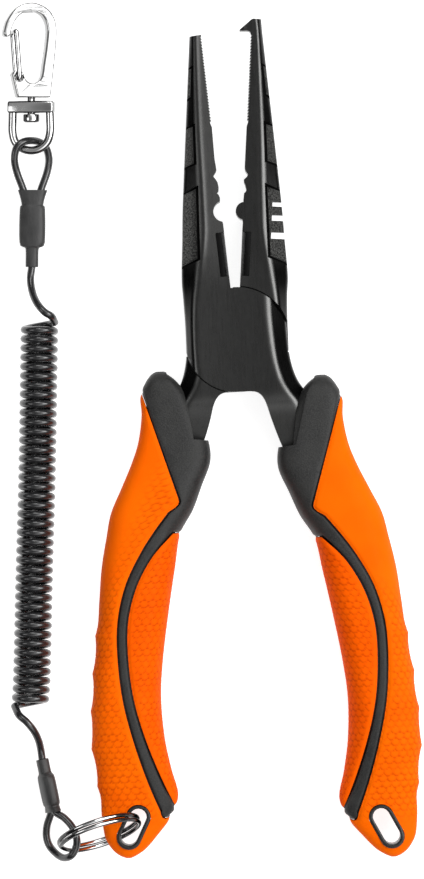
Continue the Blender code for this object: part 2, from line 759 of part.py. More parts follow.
def ferrule(name, flare, body, matrix):
    rows = [(flare + 0.7, 2.2, 1.0), (flare + 1.1, 2.5, 1.2),
            (flare + body - 0.7, 2.5, 1.2), (flare + body - 0.3, 2.2, 1.0)]
    item = mesh_from_rings(name, [oval(*row) for row in rows])
    return finish(move(item, matrix), ferrule_aluminium())


def loop_with_legs(points, matrix, depth):
    """Add the legs inside the sleeve to a loop's free part."""
    first = matrix @ Vector((-LEG_SPREAD, depth, 0))
    last = matrix @ Vector((LEG_SPREAD, depth, 0))
    if (first - Vector(points[0])).length > (last - Vector(points[0])).length:
        first, last = last, first
    return [first, *points, last]


def swivel_frame(roll=0.0):
    return (Matrix.Translation(SWIVEL_CENTRE) @ Matrix.Rotation(math.radians(LANYARD_TURN), 4, "Z")
            @ Matrix.Rotation(math.radians(roll), 4, "Y"))


def split_ring(axis):
    """Two turns of wire side by side, with one short step from the first to the second."""
    points = []
    for k in range(55):
        turn = 0.1 + 1.8 * k / 54
        step = max(0.0, min(1.0, (turn - 0.9) / 0.2))
        z = RING_STEP * (step * step * (3 - 2 * step) - 0.5)
        angle = 2 * math.pi * (turn + 0.55)
        points.append((RING_RADIUS * math.cos(angle), RING_RADIUS * math.sin(angle), z))
    place = (Matrix.Translation(RING_CENTRE) @ Matrix.Rotation(math.radians(RING_TURN), 4, "Z")
             @ Matrix.Rotation(math.radians(RING_TILT), 4, "X"))
    return finish(move(tube("split_ring", points, RING_WIRE, 2), place), chrome(), axis)


def swivel_bow(axis):
    """Bow of the swivel: a bent wire closed by a crossbar that the swivel pin turns in."""
    half = [(BOW_HALF_WIDTH - 0.1, 0.0, 0), (BOW_HALF_WIDTH, -3.5, 0), (BOW_HALF_WIDTH, -6.3, 0),
            (4.15, -8.8, 0), (2.3, -10.45, 0)]
    line = half + [(0, -BOW_REACH, 0)] + [(-x, y, z) for x, y, z in reversed(half)]
    bow = to_mesh(tube("swivel_bow", through(line, 2), BOW_WIRE, 2))
    bar = prism("crossbar", [(-5.9, -1.6), (5.9, -1.6), (5.9, 1.4), (-5.9, 1.4)], -1.6, 1.6)
    combine(bow, bar, "UNION")
    hole = cylinder("swivel_hole", SWIVEL_RADIUS + 0.2, -3, 3)
    hole.rotation_euler.x = math.radians(90)
    combine(bow, hole, "DIFFERENCE")
    return finish(move(bow, swivel_frame(BOW_ROLL)), chrome(), axis)


def hook_body(axis):
    """Flat snap hook with a base for the swivel pin and a shoulder for the gate."""
    outer = through([(4.5, 2.3), (5.2, 8.0), (5.9, 15.0), (6.05, 20.0), (4.9, 23.4), (2.6, 25.3),
                     (-0.6, 26.0), (-4.0, 24.7), (-6.4, 21.6), (-7.3, 18.6)], 3)
    inner = through([(-5.8, 17.7), (-5.3, 19.6), (-4.2, 21.8), (-2.3, 23.5), (0.2, 23.9), (2.6, 22.8),
                     (3.8, 20.0), (3.6, 16.0), (2.9, 11.0), (2.3, 7.4), (1.1, 6.0), (-0.4, 5.8),
                     (-1.7, 6.7), (-2.6, 8.7)], 3)
    outline = [point.to_tuple() for point in outer] + [(-6.9, 17.4)]
    outline += [point.to_tuple() for point in inner] + [(-4.3, 9.2), (-5.2, 8.2), (-3.8, 2.3)]
    hook = prism("hook_body", outline, -HOOK_HALF, HOOK_HALF)
    socket = cylinder("pin_socket", SWIVEL_RADIUS + GAP, 0, 5.1)
    socket.rotation_euler.x = math.radians(-90)
    socket.location = (0, 2.55 * MM, 0)
    combine(hook, socket, "DIFFERENCE")
    pivot = cylinder("gate_hole", GATE_WIRE + 0.25, -4, 4, 16)
    pivot.location = (GATE_HINGE[0] * MM, GATE_HINGE[1] * MM, 0)
    combine(hook, pivot, "DIFFERENCE")
    return finish(move(hook, swivel_frame(HOOK_ROLL)), chrome(), axis)


def swivel_pin(axis):
    """Rivet from the hook's base through the crossbar, with its head inside the bow."""
    pin = turned("swivel_pin", [(1.7, 3.95), (2.05, 3.6), (2.05, 1.95), (SWIVEL_RADIUS, 1.9),
                                (SWIVEL_RADIUS, -4.8)], 24)
    pin.rotation_euler.x = math.radians(90)
    bpy.context.view_layer.update()
    return finish(move(pin, swivel_frame(HOOK_ROLL)), chrome(), axis)


def hook_gate(axis):
    """Sprung wire gate that straddles the hook and closes against the inside of its nose."""
    side = HOOK_HALF + GAP + GATE_WIRE
    x, y = GATE_HINGE
    leg = [(x, y, 0.9), (x, y, side - 0.4), (x - 0.05, y + 0.6, side), (x - 0.8, y + 10.4, side),
           (x - 0.9, y + 11.2, side - 0.5), (x - 0.9, y + 11.4, side - 1.2)]
    line = leg + [(a, b, -c) for a, b, c in reversed(leg)]
    gate = tube("hook_gate", line, GATE_WIRE, 2)
    return finish(move(gate, swivel_frame(HOOK_ROLL)), chrome(), axis)


def lanyard():
    upper = sleeve_matrix(UPPER_MOUTH, UPPER_NECK_END, 0)
    lower = sleeve_matrix(LOWER_MOUTH, LOWER_NECK_END, -70)
    coil = [(x, y, COIL_Z) for x, y in COIL_LINE]
    finish(tube("lanyard_coil", through(coil, 2), COIL_RADIUS, 6), cord_black())
    finish(tube("upper_lead", through(UPPER_LEAD, 2), CORD_RADIUS), cord_black())
    finish(tube("lower_lead", through(LOWER_LEAD, 2), CORD_RADIUS), cord_black())
    shrink_tube("upper_shrink_tube", 4.2, 9.2, 19.2, upper)
    ferrule("upper_ferrule", 4.2, 9.2, upper)
    shrink_tube("lower_shrink_tube", 1.9, 6.8, 13.4, lower)
    ferrule("lower_ferrule", 1.9, 6.8, lower)
    plan = swivel_frame()
    plan.translation.z = 0
    free = [plan @ Vector(point) for point in UPPER_LOOP]
    finish(tube("upper_loop", through(loop_with_legs(free, upper, 4.2), 2), CORD_RADIUS), cord_black())
    line = loop_with_legs(LOWER_LOOP, lower, 2.0)
    finish(tube("lower_loop", through(line, 2), CORD_RADIUS), cord_black())


def swivel_and_hook():
    spot = swivel_frame() @ Vector((0, -10.2, 0))
    bow_axis = axis_empty("bow_swing_axis", spot)
    swivel_bow(bow_axis)
    hook_axis = axis_empty("hook_swivel_axis", SWIVEL_CENTRE, (0, 0, LANYARD_TURN), bow_axis)
    hook_body(hook_axis)
    swivel_pin(hook_axis)
    hinge = swivel_frame(HOOK_ROLL) @ Vector((*GATE_HINGE, 0))
    gate_axis = axis_empty("gate_hinge_axis", hinge, (0, 0, LANYARD_TURN), hook_axis)
    hook_gate(gate_axis)


def main():
    clear_scene()
    rear_lever()
    finish(pin_solid("pivot_pin"), black_steel())
    return_spring()
    finish(cutter_blade("right_cutter_blade", REAR_OPENING), hardened_steel())
    handle("left")
    front_axis = axis_empty("jaw_pivot_axis", (0, 0, 0))
    front_lever(front_axis)
    finish(mirror_x(cutter_blade("left_cutter_blade", FRONT_OPENING)), hardened_steel(), front_axis)
    handle("right", front_axis)
    lanyard()
    split_ring(axis_empty("ring_tilt_axis", RING_CENTRE, (0, 0, RING_TURN)))
    swivel_and_hook()


main()
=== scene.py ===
# Fishing pliers with a coiled lanyard, lying open on a pale table.
# Settings are in millimetres and degrees; mm turns a length into Blender's metres.
import math

import bpy
import numpy as np
from mathutils import Matrix, Vector


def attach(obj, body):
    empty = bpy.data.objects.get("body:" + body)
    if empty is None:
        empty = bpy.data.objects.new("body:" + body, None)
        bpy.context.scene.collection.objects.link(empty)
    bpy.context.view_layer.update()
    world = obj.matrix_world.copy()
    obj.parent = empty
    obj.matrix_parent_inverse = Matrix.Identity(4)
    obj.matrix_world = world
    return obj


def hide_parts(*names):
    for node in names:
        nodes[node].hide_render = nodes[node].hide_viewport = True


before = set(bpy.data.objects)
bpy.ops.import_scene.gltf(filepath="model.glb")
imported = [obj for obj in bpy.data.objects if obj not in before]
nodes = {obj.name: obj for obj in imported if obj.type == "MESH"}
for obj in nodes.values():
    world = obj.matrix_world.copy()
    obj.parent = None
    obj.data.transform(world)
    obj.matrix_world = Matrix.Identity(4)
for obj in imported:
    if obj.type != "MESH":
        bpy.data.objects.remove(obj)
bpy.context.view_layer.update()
mm = 0.001


# Tools used by several pieces

def pick(piece):
    bpy.ops.object.select_all(action="DESELECT")
    piece.select_set(True)
    bpy.context.view_layer.objects.active = piece


def named(name):
    piece = bpy.context.object
    piece.name = name
    piece.data.name = name
    return piece


def linked(name, data):
    piece = bpy.data.objects.new(name, data)
    bpy.context.scene.collection.objects.link(piece)
    return piece


def copyOf(piece, name):
    twin = piece.copy()
    twin.data = piece.data.copy()
    twin.name = name
    bpy.context.scene.collection.objects.link(twin)
    return twin


def modify(piece, kind, **values):
    pick(piece)
    modifier = piece.modifiers.new(kind.title(), kind)
    for key, value in values.items():
        setattr(modifier, key, value)
    bpy.ops.object.modifier_apply(modifier=modifier.name)
    return piece


def combine(piece, tool, operation):
    modify(piece, "BOOLEAN", operation=operation, object=tool, solver="MANIFOLD")
    bpy.data.objects.remove(tool)
    return piece


def edit(piece, *steps):
    # each step is an edit mode operator and its settings, and acts on the whole mesh
    pick(piece)
    bpy.ops.object.mode_set(mode="EDIT")
    for name, values in steps:
        bpy.ops.mesh.select_all(action="SELECT")
        getattr(bpy.ops.mesh, name)(**values)
    bpy.ops.object.mode_set(mode="OBJECT")
    return piece


joinPoints = ("remove_doubles", {"threshold": 0.000002})
closeEnds = ("fill_holes", {"sides": 0})
faceOutwards = ("normals_make_consistent", {"inside": False})
mergeFlats = ("dissolve_limited", {"angle_limit": math.radians(0.6)})
turnFaces = ("flip_normals", {})


def toMesh(piece):
    pick(piece)
    bpy.ops.object.convert(target="MESH")
    piece = bpy.context.object
    bpy.ops.object.transform_apply()
    return edit(piece, joinPoints, faceOutwards)


def mirrorAcross(piece, shift=(0, 0)):
    # from the -X side to the +X side, or back
    move = Matrix.Translation((shift[0] * mm, shift[1] * mm, 0))
    piece.data.transform(move @ Matrix.Scale(-1, 4, (1, 0, 0)))
    return edit(piece, turnFaces)


def place(piece, matrix):
    # the matrix goes into the mesh, so the object stays at the origin
    moved = matrix.copy()
    moved.translation = matrix.translation * mm
    piece.data.transform(moved @ piece.matrix_world)
    piece.matrix_world = Matrix()
    return piece


def smooth(piece, angle=40):
    pick(piece)
    bpy.ops.object.shade_smooth_by_angle(angle=math.radians(angle))
    return piece


def points(piece):
    found = np.empty(len(piece.data.vertices) * 3)
    piece.data.vertices.foreach_get("co", found)
    return found.reshape(-1, 3) / mm


def rollTube(name, around, along, shape, ends=True):
    # a flat grid is rolled up: shape gives each point from its turn and its way, both 0 to 1
    bpy.ops.mesh.primitive_grid_add(x_subdivisions=around, y_subdivisions=along, size=2)
    tube = named(name)
    flat = points(tube) * mm
    rolled = shape((flat[:, 0] + 1) / 2, (flat[:, 1] + 1) / 2) * mm
    tube.data.vertices.foreach_set("co", rolled.ravel())
    return edit(tube, joinPoints, *([closeEnds] if ends else []), faceOutwards)


def drawn(name, way, **values):
    curve = bpy.data.curves.new(name, "CURVE")
    for key, value in values.items():
        setattr(curve, key, value)
    spline = curve.splines.new("POLY")
    spline.points.add(len(way) - 1)
    for spot, point in zip(spline.points, way):
        x, y, z = (*point, 0)[:3]
        spot.co = (x * mm, y * mm, z * mm, 1)
    return linked(name, curve)


def plate(name, outline, low, high):
    # a flat outline is filled and given its thickness
    piece = drawn(name, outline, dimensions="2D", fill_mode="BOTH", extrude=(high - low) / 2 * mm)
    piece.data.splines[0].use_cyclic_u = True
    piece.location.z = (low + high) / 2 * mm
    return toMesh(piece)


def wire(name, way, radius, sides=4):
    return drawn(name, way, dimensions="3D", bevel_depth=radius * mm, bevel_resolution=sides,
                 use_fill_caps=True)


def wireMesh(name, way, radius, sides=4):
    return smooth(toMesh(wire(name, way, radius, sides)), 50)


def through(way, steps):
    # a smooth line through the given points
    way = np.array(way, float)
    padded = np.vstack([2 * way[0] - way[1], way, 2 * way[-1] - way[-2]])
    made = []
    for a, b, c, d in zip(padded, padded[1:], padded[2:], padded[3:]):
        for k in range(steps):
            t = k / steps
            made.append(0.5 * (2 * b + (c - a) * t + (2 * a - 5 * b + 4 * c - d) * t ** 2
                               + (3 * b - a - 3 * c + d) * t ** 3))
    made.append(way[-1])
    return np.array(made)


def arc(centre, radius, start, end, steps):
    turns = np.radians(np.linspace(start, end, steps + 1))
    return [(centre[0] + radius * math.cos(a), centre[1] + radius * math.sin(a)) for a in turns]


def ease(value, low, high):
    # 0 up to low, 1 from high on, and smooth between
    share = np.clip((value - low) / (high - low), 0, 1)
    return share * share * (3 - 2 * share)


def turnMatrix(degrees, axis):
    return Matrix.Rotation(math.radians(degrees), 4, axis)


def nodeCopy(node, name):
    # a copy of a fixed piece, with its loose triangles joined into clean faces
    piece = copyOf(nodes[node], name)
    piece.data.name = name
    for key in list(piece.keys()):
        del piece[key]
    piece.parent = None
    return edit(piece, joinPoints, mergeFlats)


def roundEdges(piece, width, longest, turn, segments=3):
    # only edges that are long and sharp enough take the rounding
    mesh = piece.data
    weight = mesh.attributes.new("bevel_weight_edge", "FLOAT", "EDGE")
    faces = {}
    for face in mesh.polygons:
        for key in face.edge_keys:
            faces.setdefault(key, []).append(face.normal)
    corners = mesh.vertices
    for edge in mesh.edges:
        sides = faces.get(tuple(sorted(edge.vertices)), [])
        size = (corners[edge.vertices[0]].co - corners[edge.vertices[1]].co).length / mm
        if len(sides) == 2 and size > longest and sides[0].angle(sides[1], 0) > math.radians(turn):
            weight.data[edge.index].value = 1.0
    modify(piece, "BEVEL", width=width * mm, segments=segments, limit_method="WEIGHT",
           use_clamp_overlap=False, miter_outer="MITER_ARC")
    return smooth(piece)


def finishPiece(piece, material, body, slot, *replaced):
    piece.data.materials.clear()
    for each in material if isinstance(material, list) else [material]:
        piece.data.materials.append(each)
    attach(piece, body)
    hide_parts(*replaced)
    return piece


# Finishes

class Nodes:
    # short ways to add nodes to a material or to the world

    def __init__(self, tree):
        self.tree = tree

    def node(self, kind, **values):
        made = self.tree.nodes.new(kind)
        for key, value in values.items():
            setattr(made, key, value)
        return made

    def link(self, start, end):
        self.tree.links.new(start, end)

    def parts(self, value):
        made = self.node("ShaderNodeSeparateXYZ")
        self.link(value, made.inputs[0])
        return made.outputs

    def ramp(self, value, low, high, start=0.0, end=1.0):
        made = self.node("ShaderNodeMapRange")
        made.inputs["From Min"].default_value = low
        made.inputs["From Max"].default_value = high
        made.inputs["To Min"].default_value = start
        made.inputs["To Max"].default_value = end
        self.link(value, made.inputs["Value"])
        return made.outputs["Result"]

    def shades(self, value, stops):
        # grey tones at set places between 0 and 1
        made = self.node("ShaderNodeValToRGB")
        elements = made.color_ramp.elements
        for spot, tone in stops[1:-1]:
            elements.new(spot)
        for (spot, tone), element in zip(stops, elements):
            element.color = (tone, tone, tone, 1)
        self.link(value, made.inputs[0])
        return made.outputs[0]


class Finish(Nodes):
    # one material

    def __init__(self, name, colour, roughness, metallic=0.0):
        self.material = bpy.data.materials.new(name)
        self.material.use_nodes = True
        super().__init__(self.material.node_tree)
        self.shader = self.tree.nodes["Principled BSDF"]
        self.set("Base Color", (*colour, 1.0))
        self.set("Roughness", roughness)
        self.set("Metallic", metallic)
        self.place = self.node("ShaderNodeTexCoord").outputs["Object"]
        self.height = None

    def set(self, socket, value):
        self.shader.inputs[socket].default_value = value

    def stretched(self, scale):
        mapping = self.node("ShaderNodeMapping")
        mapping.inputs["Scale"].default_value = scale
        self.link(self.place, mapping.inputs["Vector"])
        return mapping.outputs["Vector"]

    def noise(self, size, detail=3.0, where=None, rough=0.5):
        # size is the width of the grain in millimetres
        made = self.node("ShaderNodeTexNoise")
        made.inputs["Scale"].default_value = 1 / (size * mm)
        made.inputs["Detail"].default_value = detail
        made.inputs["Roughness"].default_value = rough
        self.link(where or self.place, made.inputs["Vector"])
        return made.outputs["Fac"]

    def facing(self):
        # how squarely the surface faces up or down, in the piece's own frame
        normal = self.node("ShaderNodeTexCoord").outputs["Normal"]
        return self.maths("ABSOLUTE", self.parts(normal)["Z"])

    def maths(self, operation, first, second=None):
        made = self.node("ShaderNodeMath", operation=operation)
        self.link(first, made.inputs[0])
        if second is not None:
            made.inputs[1].default_value = second
        return made.outputs[0]

    def mix(self, share, first, second, blend="MIX"):
        # share, first and second are each a value or another node's output
        made = self.node("ShaderNodeMix", data_type="RGBA", blend_type=blend)
        sockets = (made.inputs["Factor"], made.inputs[6], made.inputs[7])
        for socket, value in zip(sockets, (share, first, second)):
            if isinstance(value, tuple):
                socket.default_value = (*value, 1.0)
            elif isinstance(value, float):
                socket.default_value = value
            else:
                self.link(value, socket)
        return made.outputs[2]

    def colour(self, value):
        self.link(value, self.shader.inputs["Base Color"])

    def roughness(self, value):
        self.link(value, self.shader.inputs["Roughness"])

    def uneven(self, size, low, high, where=None):
        # the roughness wanders between low and high
        self.roughness(self.ramp(self.noise(size, 3, where), 0.3, 0.7, low, high))

    def bump(self, value, depth, strength=1.0):
        made = self.node("ShaderNodeBump")
        made.inputs["Distance"].default_value = depth * mm
        made.inputs["Strength"].default_value = strength
        self.link(value, made.inputs["Height"])
        if self.height:
            self.link(self.height, made.inputs["Normal"])
        self.height = made.outputs["Normal"]
        self.link(self.height, self.shader.inputs["Normal"])


def blackSteel():
    # satin black coat with a fine grain and faint rub marks along the jaws; ridges are painted brighter by
    # their slope (painted highlight) and steeper flanks painted darker (painted shade)
    coat = Finish("satinBlackSteel", (0.04, 0.04, 0.039), 0.28, 0.9)
    rubbed = coat.noise(0.5, 4, coat.stretched((1, 0.08, 1)), 0.7)
    cloudy = coat.noise(2.5, 5, None, 0.7)
    tones = coat.mix(coat.ramp(cloudy, 0.3, 0.7), (0.86, 0.86, 0.85), (1.0, 1.0, 0.98))
    # painted highlight and shade: the base colour follows how squarely the surface faces up, brightest on
    # gentle slopes and darkest on steeper ones
    paintedSlopeShading = coat.shades(coat.facing(), [(0.0, 0.035), (0.45, 0.02), (0.8, 0.008), (0.86, 0.03),
                                       (0.93, 0.085), (0.975, 0.08), (0.993, 0.058), (1.0, 0.052)])
    coat.colour(coat.mix(1.0, tones, paintedSlopeShading, "MULTIPLY"))
    coat.roughness(coat.ramp(rubbed, 0.25, 0.75, 0.24, 0.34))
    coat.bump(coat.noise(0.3, 4, None, 0.6), 0.02, 0.6)
    coat.set("Specular IOR Level", 0.3)
    return coat.material


def grainedSteel():
    # sand-blasted pads in the jaws' recesses
    coat = Finish("grainedBlackSteel", (0.05, 0.05, 0.05), 0.42, 0.8)
    grain = coat.noise(0.4, 3, None, 0.7)
    coat.colour(coat.mix(coat.ramp(grain, 0.38, 0.72), (0.012, 0.012, 0.012), (0.105, 0.105, 0.1)))
    coat.bump(grain, 0.22)
    return coat.material


def paintedMoatShade():
    # painted shade: a near-black, dull coat in the moat round each pad, standing in for the shadow in the
    # narrow groove
    coat = Finish("paintedMoatShade", (0.003, 0.003, 0.003), 0.7)
    coat.uneven(0.5, 0.6, 0.8)
    coat.set("Specular IOR Level", 0.1)
    return coat.material


def cutterSteel():
    steel = Finish("cutterSteel", (0.003, 0.003, 0.003), 0.45)
    steel.uneven(0.6, 0.36, 0.52, steel.stretched((0.1, 1, 1)))
    steel.set("Specular IOR Level", 0.08)
    return steel.material


def springWire():
    steel = Finish("drawnWire", (0.55, 0.55, 0.56), 0.3, 1.0)
    steel.uneven(0.4, 0.24, 0.38)
    return steel.material


def orangeRubber(name, bright, deep):
    # the grooves between the scales carry their own depth, and are painted a deeper, darker orange there as
    # painted shade
    rubber = Finish(name, bright, 0.5)
    skin = rubber.mix(rubber.ramp(rubber.noise(9, 2), 0.35, 0.7), bright, deep)
    groove = rubber.node("ShaderNodeAttribute", attribute_name="grooveShadeDepth").outputs["Fac"]
    dark = tuple(value * share for value, share in zip(deep, (0.62, 0.4, 1)))
    # painted shade in the grooves between the scales
    rubber.colour(rubber.mix(rubber.maths("MULTIPLY", groove, 0.8), skin, dark))
    rubber.uneven(1.2, 0.55, 0.7)
    rubber.bump(rubber.noise(0.22, 3), 0.015, 0.6)
    rubber.set("Specular IOR Level", 0.03)
    return rubber.material


def corePlastic():
    plastic = Finish("grainedCorePlastic", (0.014, 0.014, 0.014), 0.55)
    grain = plastic.noise(0.35, 4, None, 0.65)
    patches = plastic.noise(3.5, 3)
    fine = plastic.mix(plastic.ramp(grain, 0.4, 0.75), (0.01, 0.01, 0.01), (0.034, 0.034, 0.033))
    plastic.colour(plastic.mix(plastic.ramp(patches, 0.35, 0.75, 0, 0.5), fine, (0.036, 0.036, 0.034)))
    plastic.roughness(plastic.ramp(patches, 0.3, 0.7, 0.5, 0.62))
    plastic.bump(grain, 0.07, 0.8)
    plastic.set("Specular IOR Level", 0.35)
    return plastic.material


def bushPlastic():
    plastic = Finish("bushPlastic", (0.01, 0.01, 0.01), 0.3)
    plastic.uneven(0.8, 0.24, 0.4)
    return plastic.material


def chromePlate():
    # painted reflection: the base colour is bright on faces that point up and dark on the rounded edges and
    # sides, set by how squarely each faces up, to give the chrome its dark outlines
    chrome = Finish("chromePlate", (0.82, 0.83, 0.85), 0.09, 1.0)
    # painted dark bands on the rounded edges and sides, and painted bright faces
    chrome.colour(chrome.shades(chrome.facing(), [
        (0.0, 0.1), (0.1, 0.12), (0.2, 0.45), (0.28, 0.2), (0.35, 0.05), (0.7, 0.07),
        (0.87, 0.7), (1.0, 0.74)]))
    chrome.roughness(chrome.ramp(chrome.noise(1.5, 4), 0.3, 0.75, 0.06, 0.18))
    chrome.bump(chrome.noise(2.5, 2), 0.02, 0.35)
    return chrome.material


def cordSheath():
    sheath = Finish("cordSheath", (0.016, 0.016, 0.017), 0.22)
    sheath.uneven(1.0, 0.16, 0.32)
    sheath.bump(sheath.noise(0.7, 2), 0.03, 0.3)
    sheath.set("Coat Weight", 0.4)
    sheath.set("Coat Roughness", 0.08)
    return sheath.material


def shrinkSleeve():
    sleeve = Finish("shrinkSleeve", (0.02, 0.02, 0.02), 0.5)
    wrinkles = sleeve.noise(1.6, 4, sleeve.stretched((1, 0.35, 1)), 0.6)
    sleeve.colour(sleeve.mix(sleeve.ramp(wrinkles, 0.3, 0.7), (0.014, 0.014, 0.014), (0.034, 0.034, 0.034)))
    sleeve.bump(wrinkles, 0.12, 0.6)
    return sleeve.material


def pressedAluminium():
    metal = Finish("pressedAluminium", (0.7, 0.7, 0.7), 0.35, 1.0)
    metal.bump(metal.noise(0.5, 3), 0.03, 0.5)
    return metal.material


finishes = {
    "black": blackSteel(), "grained": grainedSteel(), "moat": paintedMoatShade(), "cutter": cutterSteel(),
    "wire": springWire(),
    "outer": orangeRubber("outerOrangeRubber", (1.0, 0.15, 0.0), (1.0, 0.132, 0.0)),
    "inner": orangeRubber("innerOrangeRubber", (0.98, 0.124, 0.0), (0.95, 0.108, 0.0)),
    "core": corePlastic(), "bush": bushPlastic(), "chrome": chromePlate(), "cord": cordSheath(),
    "sleeve": shrinkSleeve(), "ferrule": pressedAluminium(),
}
print("finishes made")


# Table, light and camera

table = {"z": -13.8, "below": 0.02, "size": 4000, "colour": (0.5, 0.5, 0.5), "glow": 0.86}
view = {"centre": (-7.35, -24.6), "lean": -2.5, "height": 1500, "level": -5, "tall": 219.75, "sensor": 36,
        "near": 50}
studio = {
    # height of the direction above the horizon, 0 to 1, and brightness
    "sky": [(0.0, 0.04), (0.55, 0.06), (0.7, 1.25), (0.88, 1.25), (0.955, 0.6), (0.985, 0.4), (1.0, 0.3)],
    # the right side is the brighter one: how far it takes to change, and brightness on the left and right
    "turnover": 0.27, "left": 0.25, "right": 1.8,
    "backdrop": 0.86,
}
lamps = [
    # name, place, size, power
    ("keySoftbox", (820, 60, 900), 620, 6.4),
    ("farSoftbox", (-60, 800, 760), 420, 2.0),
    ("leftSoftbox", (-760, -40, 620), 420, 1.2),
]


def makeTable():
    top = (table["z"] - table["below"]) * mm
    bpy.ops.mesh.primitive_plane_add(size=table["size"] * mm, location=(0, 0, top))
    floor = named("paleTable")
    paper = Finish("paleTablePaper", table["colour"], 0.9)
    paper.set("Emission Color", (1, 1, 1, 1))
    paper.set("Emission Strength", table["glow"])
    paper.uneven(3, 0.85, 0.95)
    floor.data.materials.append(paper.material)


def makeWorld():
    # a dark horizon, softer overhead; what is seen behind the object is pale
    world = bpy.data.worlds.new("studioWorld")
    bpy.context.scene.world = world
    world.use_nodes = True
    room = Nodes(world.node_tree)
    light = room.tree.nodes["Background"]
    direction = room.parts(room.node("ShaderNodeTexCoord").outputs["Generated"])
    room.link(room.shades(direction["Z"], studio["sky"]), light.inputs["Color"])
    reach = studio["turnover"]
    strength = room.ramp(direction["X"], -reach, reach, studio["left"], studio["right"])
    room.link(strength, light.inputs["Strength"])
    backdrop = room.node("ShaderNodeBackground")
    backdrop.inputs["Color"].default_value = (*[studio["backdrop"]] * 3, 1)
    choice = room.node("ShaderNodeMixShader")
    room.link(room.node("ShaderNodeLightPath").outputs["Is Camera Ray"], choice.inputs[0])
    room.link(light.outputs[0], choice.inputs[1])
    room.link(backdrop.outputs[0], choice.inputs[2])
    room.link(choice.outputs[0], room.tree.nodes["World Output"].inputs["Surface"])
    bpy.context.scene.view_settings.view_transform = "Standard"


def makeLamps():
    for name, spot, size, power in lamps:
        lamp = bpy.data.lights.new(name, "AREA")
        lamp.size = size * mm
        lamp.energy = power
        holder = linked(name, lamp)
        holder.location = Vector(spot) * mm
        aim = Vector((view["centre"][0] * mm, view["centre"][1] * mm, 0)) - holder.location
        holder.rotation_euler = aim.to_track_quat("-Z", "Y").to_euler()


def makeCamera():
    # tall is what the view takes in at the level of the tool's middle
    lens = bpy.data.cameras.new("camera")
    lens.sensor_width = view["sensor"]
    lens.lens = view["sensor"] * (view["height"] - view["level"]) / view["tall"]
    lens.clip_start = view["near"] * mm
    camera = linked("camera", lens)
    camera.location = (view["centre"][0] * mm, view["centre"][1] * mm, view["height"] * mm)
    camera.rotation_euler = (0, 0, math.radians(view["lean"]))
    bpy.context.scene.camera = camera


makeTable()
makeWorld()
makeLamps()
makeCamera()
print("studio made")


# Lanyard cord, its loops and its sleeves. The routes repeat the model's own.

cordage = {
    "radius": 0.95, "coilRadius": 3.85, "coilZ": -9.0, "coilSlant": 0.05,
    "turns": 41, "startTurn": 168, "endTurn": 370,
    "coil": [(-55.85, -89.2), (-55.0, -81.2), (-53.2, -54.5), (-51.4, -29.5), (-49.25, 6.4)],
    "lowerLead": [(-53.4, -102.9, -9.8), (-53.6, -100.6, -9.5), (-54.0, -98.2, -8.2), (-55.0, -95.6, -6.4),
                  (-56.7, -93.2, -5.4), (-58.6, -91.4, -6.2)],
    "upperLead": [(-46.1, 7.9, -6.4), (-47.9, 9.2, -5.6), (-49.6, 11.4, -6.9), (-50.7, 14.2, -9.0),
                  (-51.1, 17.6, -10.6), (-50.6, 20.8, -11.0)],
    "pointsPerTurn": 24,
    "upperMouth": (-49.6, 39.9, -11.0), "upperNeck": (-50.6, 20.7, -11.0), "upperRoll": 0,
    "lowerMouth": (-51.2, -116.1, -9.8), "lowerNeck": (-53.4, -102.8, -9.8), "lowerRoll": -70,
    # each sleeve's flare, body and whole length, and how deep the loop's legs run into it
    "upperSleeve": (4.2, 9.2, 19.2), "upperDepth": 4.2, "lowerSleeve": (1.9, 6.8, 13.4), "lowerDepth": 2.0,
    "legSpread": 1.1, "squareness": 2.7,
    "upperLoop": [(-2.0, -20.9, -11.0), (-3.6, -16.5, -10.2), (-4.2, -13.2, -9.2), (-3.6, -10.3, -8.8),
                  (-2.0, -8.9, -9.2), (0.1, -8.5, -10.6), (2.2, -8.9, -12.2), (3.7, -10.3, -12.75),
                  (4.4, -13.2, -12.4), (3.9, -16.5, -11.6), (2.4, -20.9, -11.0)],
    "lowerLoop": [(-51.8, -116.4, -11.4), (-53.0, -119.8, -12.3), (-53.2, -122.9, -12.6),
                  (-52.1, -125.5, -11.8), (-49.5, -127.6, -9.1), (-47.1, -127.1, -6.4),
                  (-45.7, -124.7, -6.2), (-45.6, -122.3, -5.6), (-46.6, -119.8, -6.2),
                  (-48.5, -117.6, -7.2), (-50.6, -116.1, -8.1)],
}
swivel = {"centre": (-49.0, 60.8, -10.5), "lean": -2.5, "hookRoll": 12, "bowRoll": -12}


def swivelFrame(roll=0.0):
    return Matrix.Translation(swivel["centre"]) @ turnMatrix(swivel["lean"], "Z") @ turnMatrix(roll, "Y")


def sleeveFrame(mouth, neck, roll):
    way = (Vector(neck) - Vector(mouth)).normalized()
    wide = -Vector((0, 0, 1)).cross(way).normalized()
    wide = turnMatrix(roll, way).to_3x3() @ wide
    return Matrix.Translation(mouth) @ Matrix((wide, way, wide.cross(way))).transposed().to_4x4()


def coilLine():
    # the helix runs up its slightly bent axis
    axis = through(cordage["coil"], 24)
    run = np.concatenate([[0], np.cumsum(np.linalg.norm(np.diff(axis, axis=0), axis=1))])
    sweep = 360 * cordage["turns"] + cordage["endTurn"] - cordage["startTurn"]
    count = int(sweep / 360 * cordage["pointsPerTurn"])
    share = np.linspace(0, 1, count + 1)
    x = np.interp(share * run[-1], run, axis[:, 0])
    y = np.interp(share * run[-1], run, axis[:, 1])
    turn = np.radians(cordage["startTurn"] + sweep * share)
    reach = cordage["coilRadius"]
    return np.stack([x + reach * np.cos(turn), y + cordage["coilSlant"] * reach * np.cos(turn),
                     cordage["coilZ"] + reach * np.sin(turn)], 1)


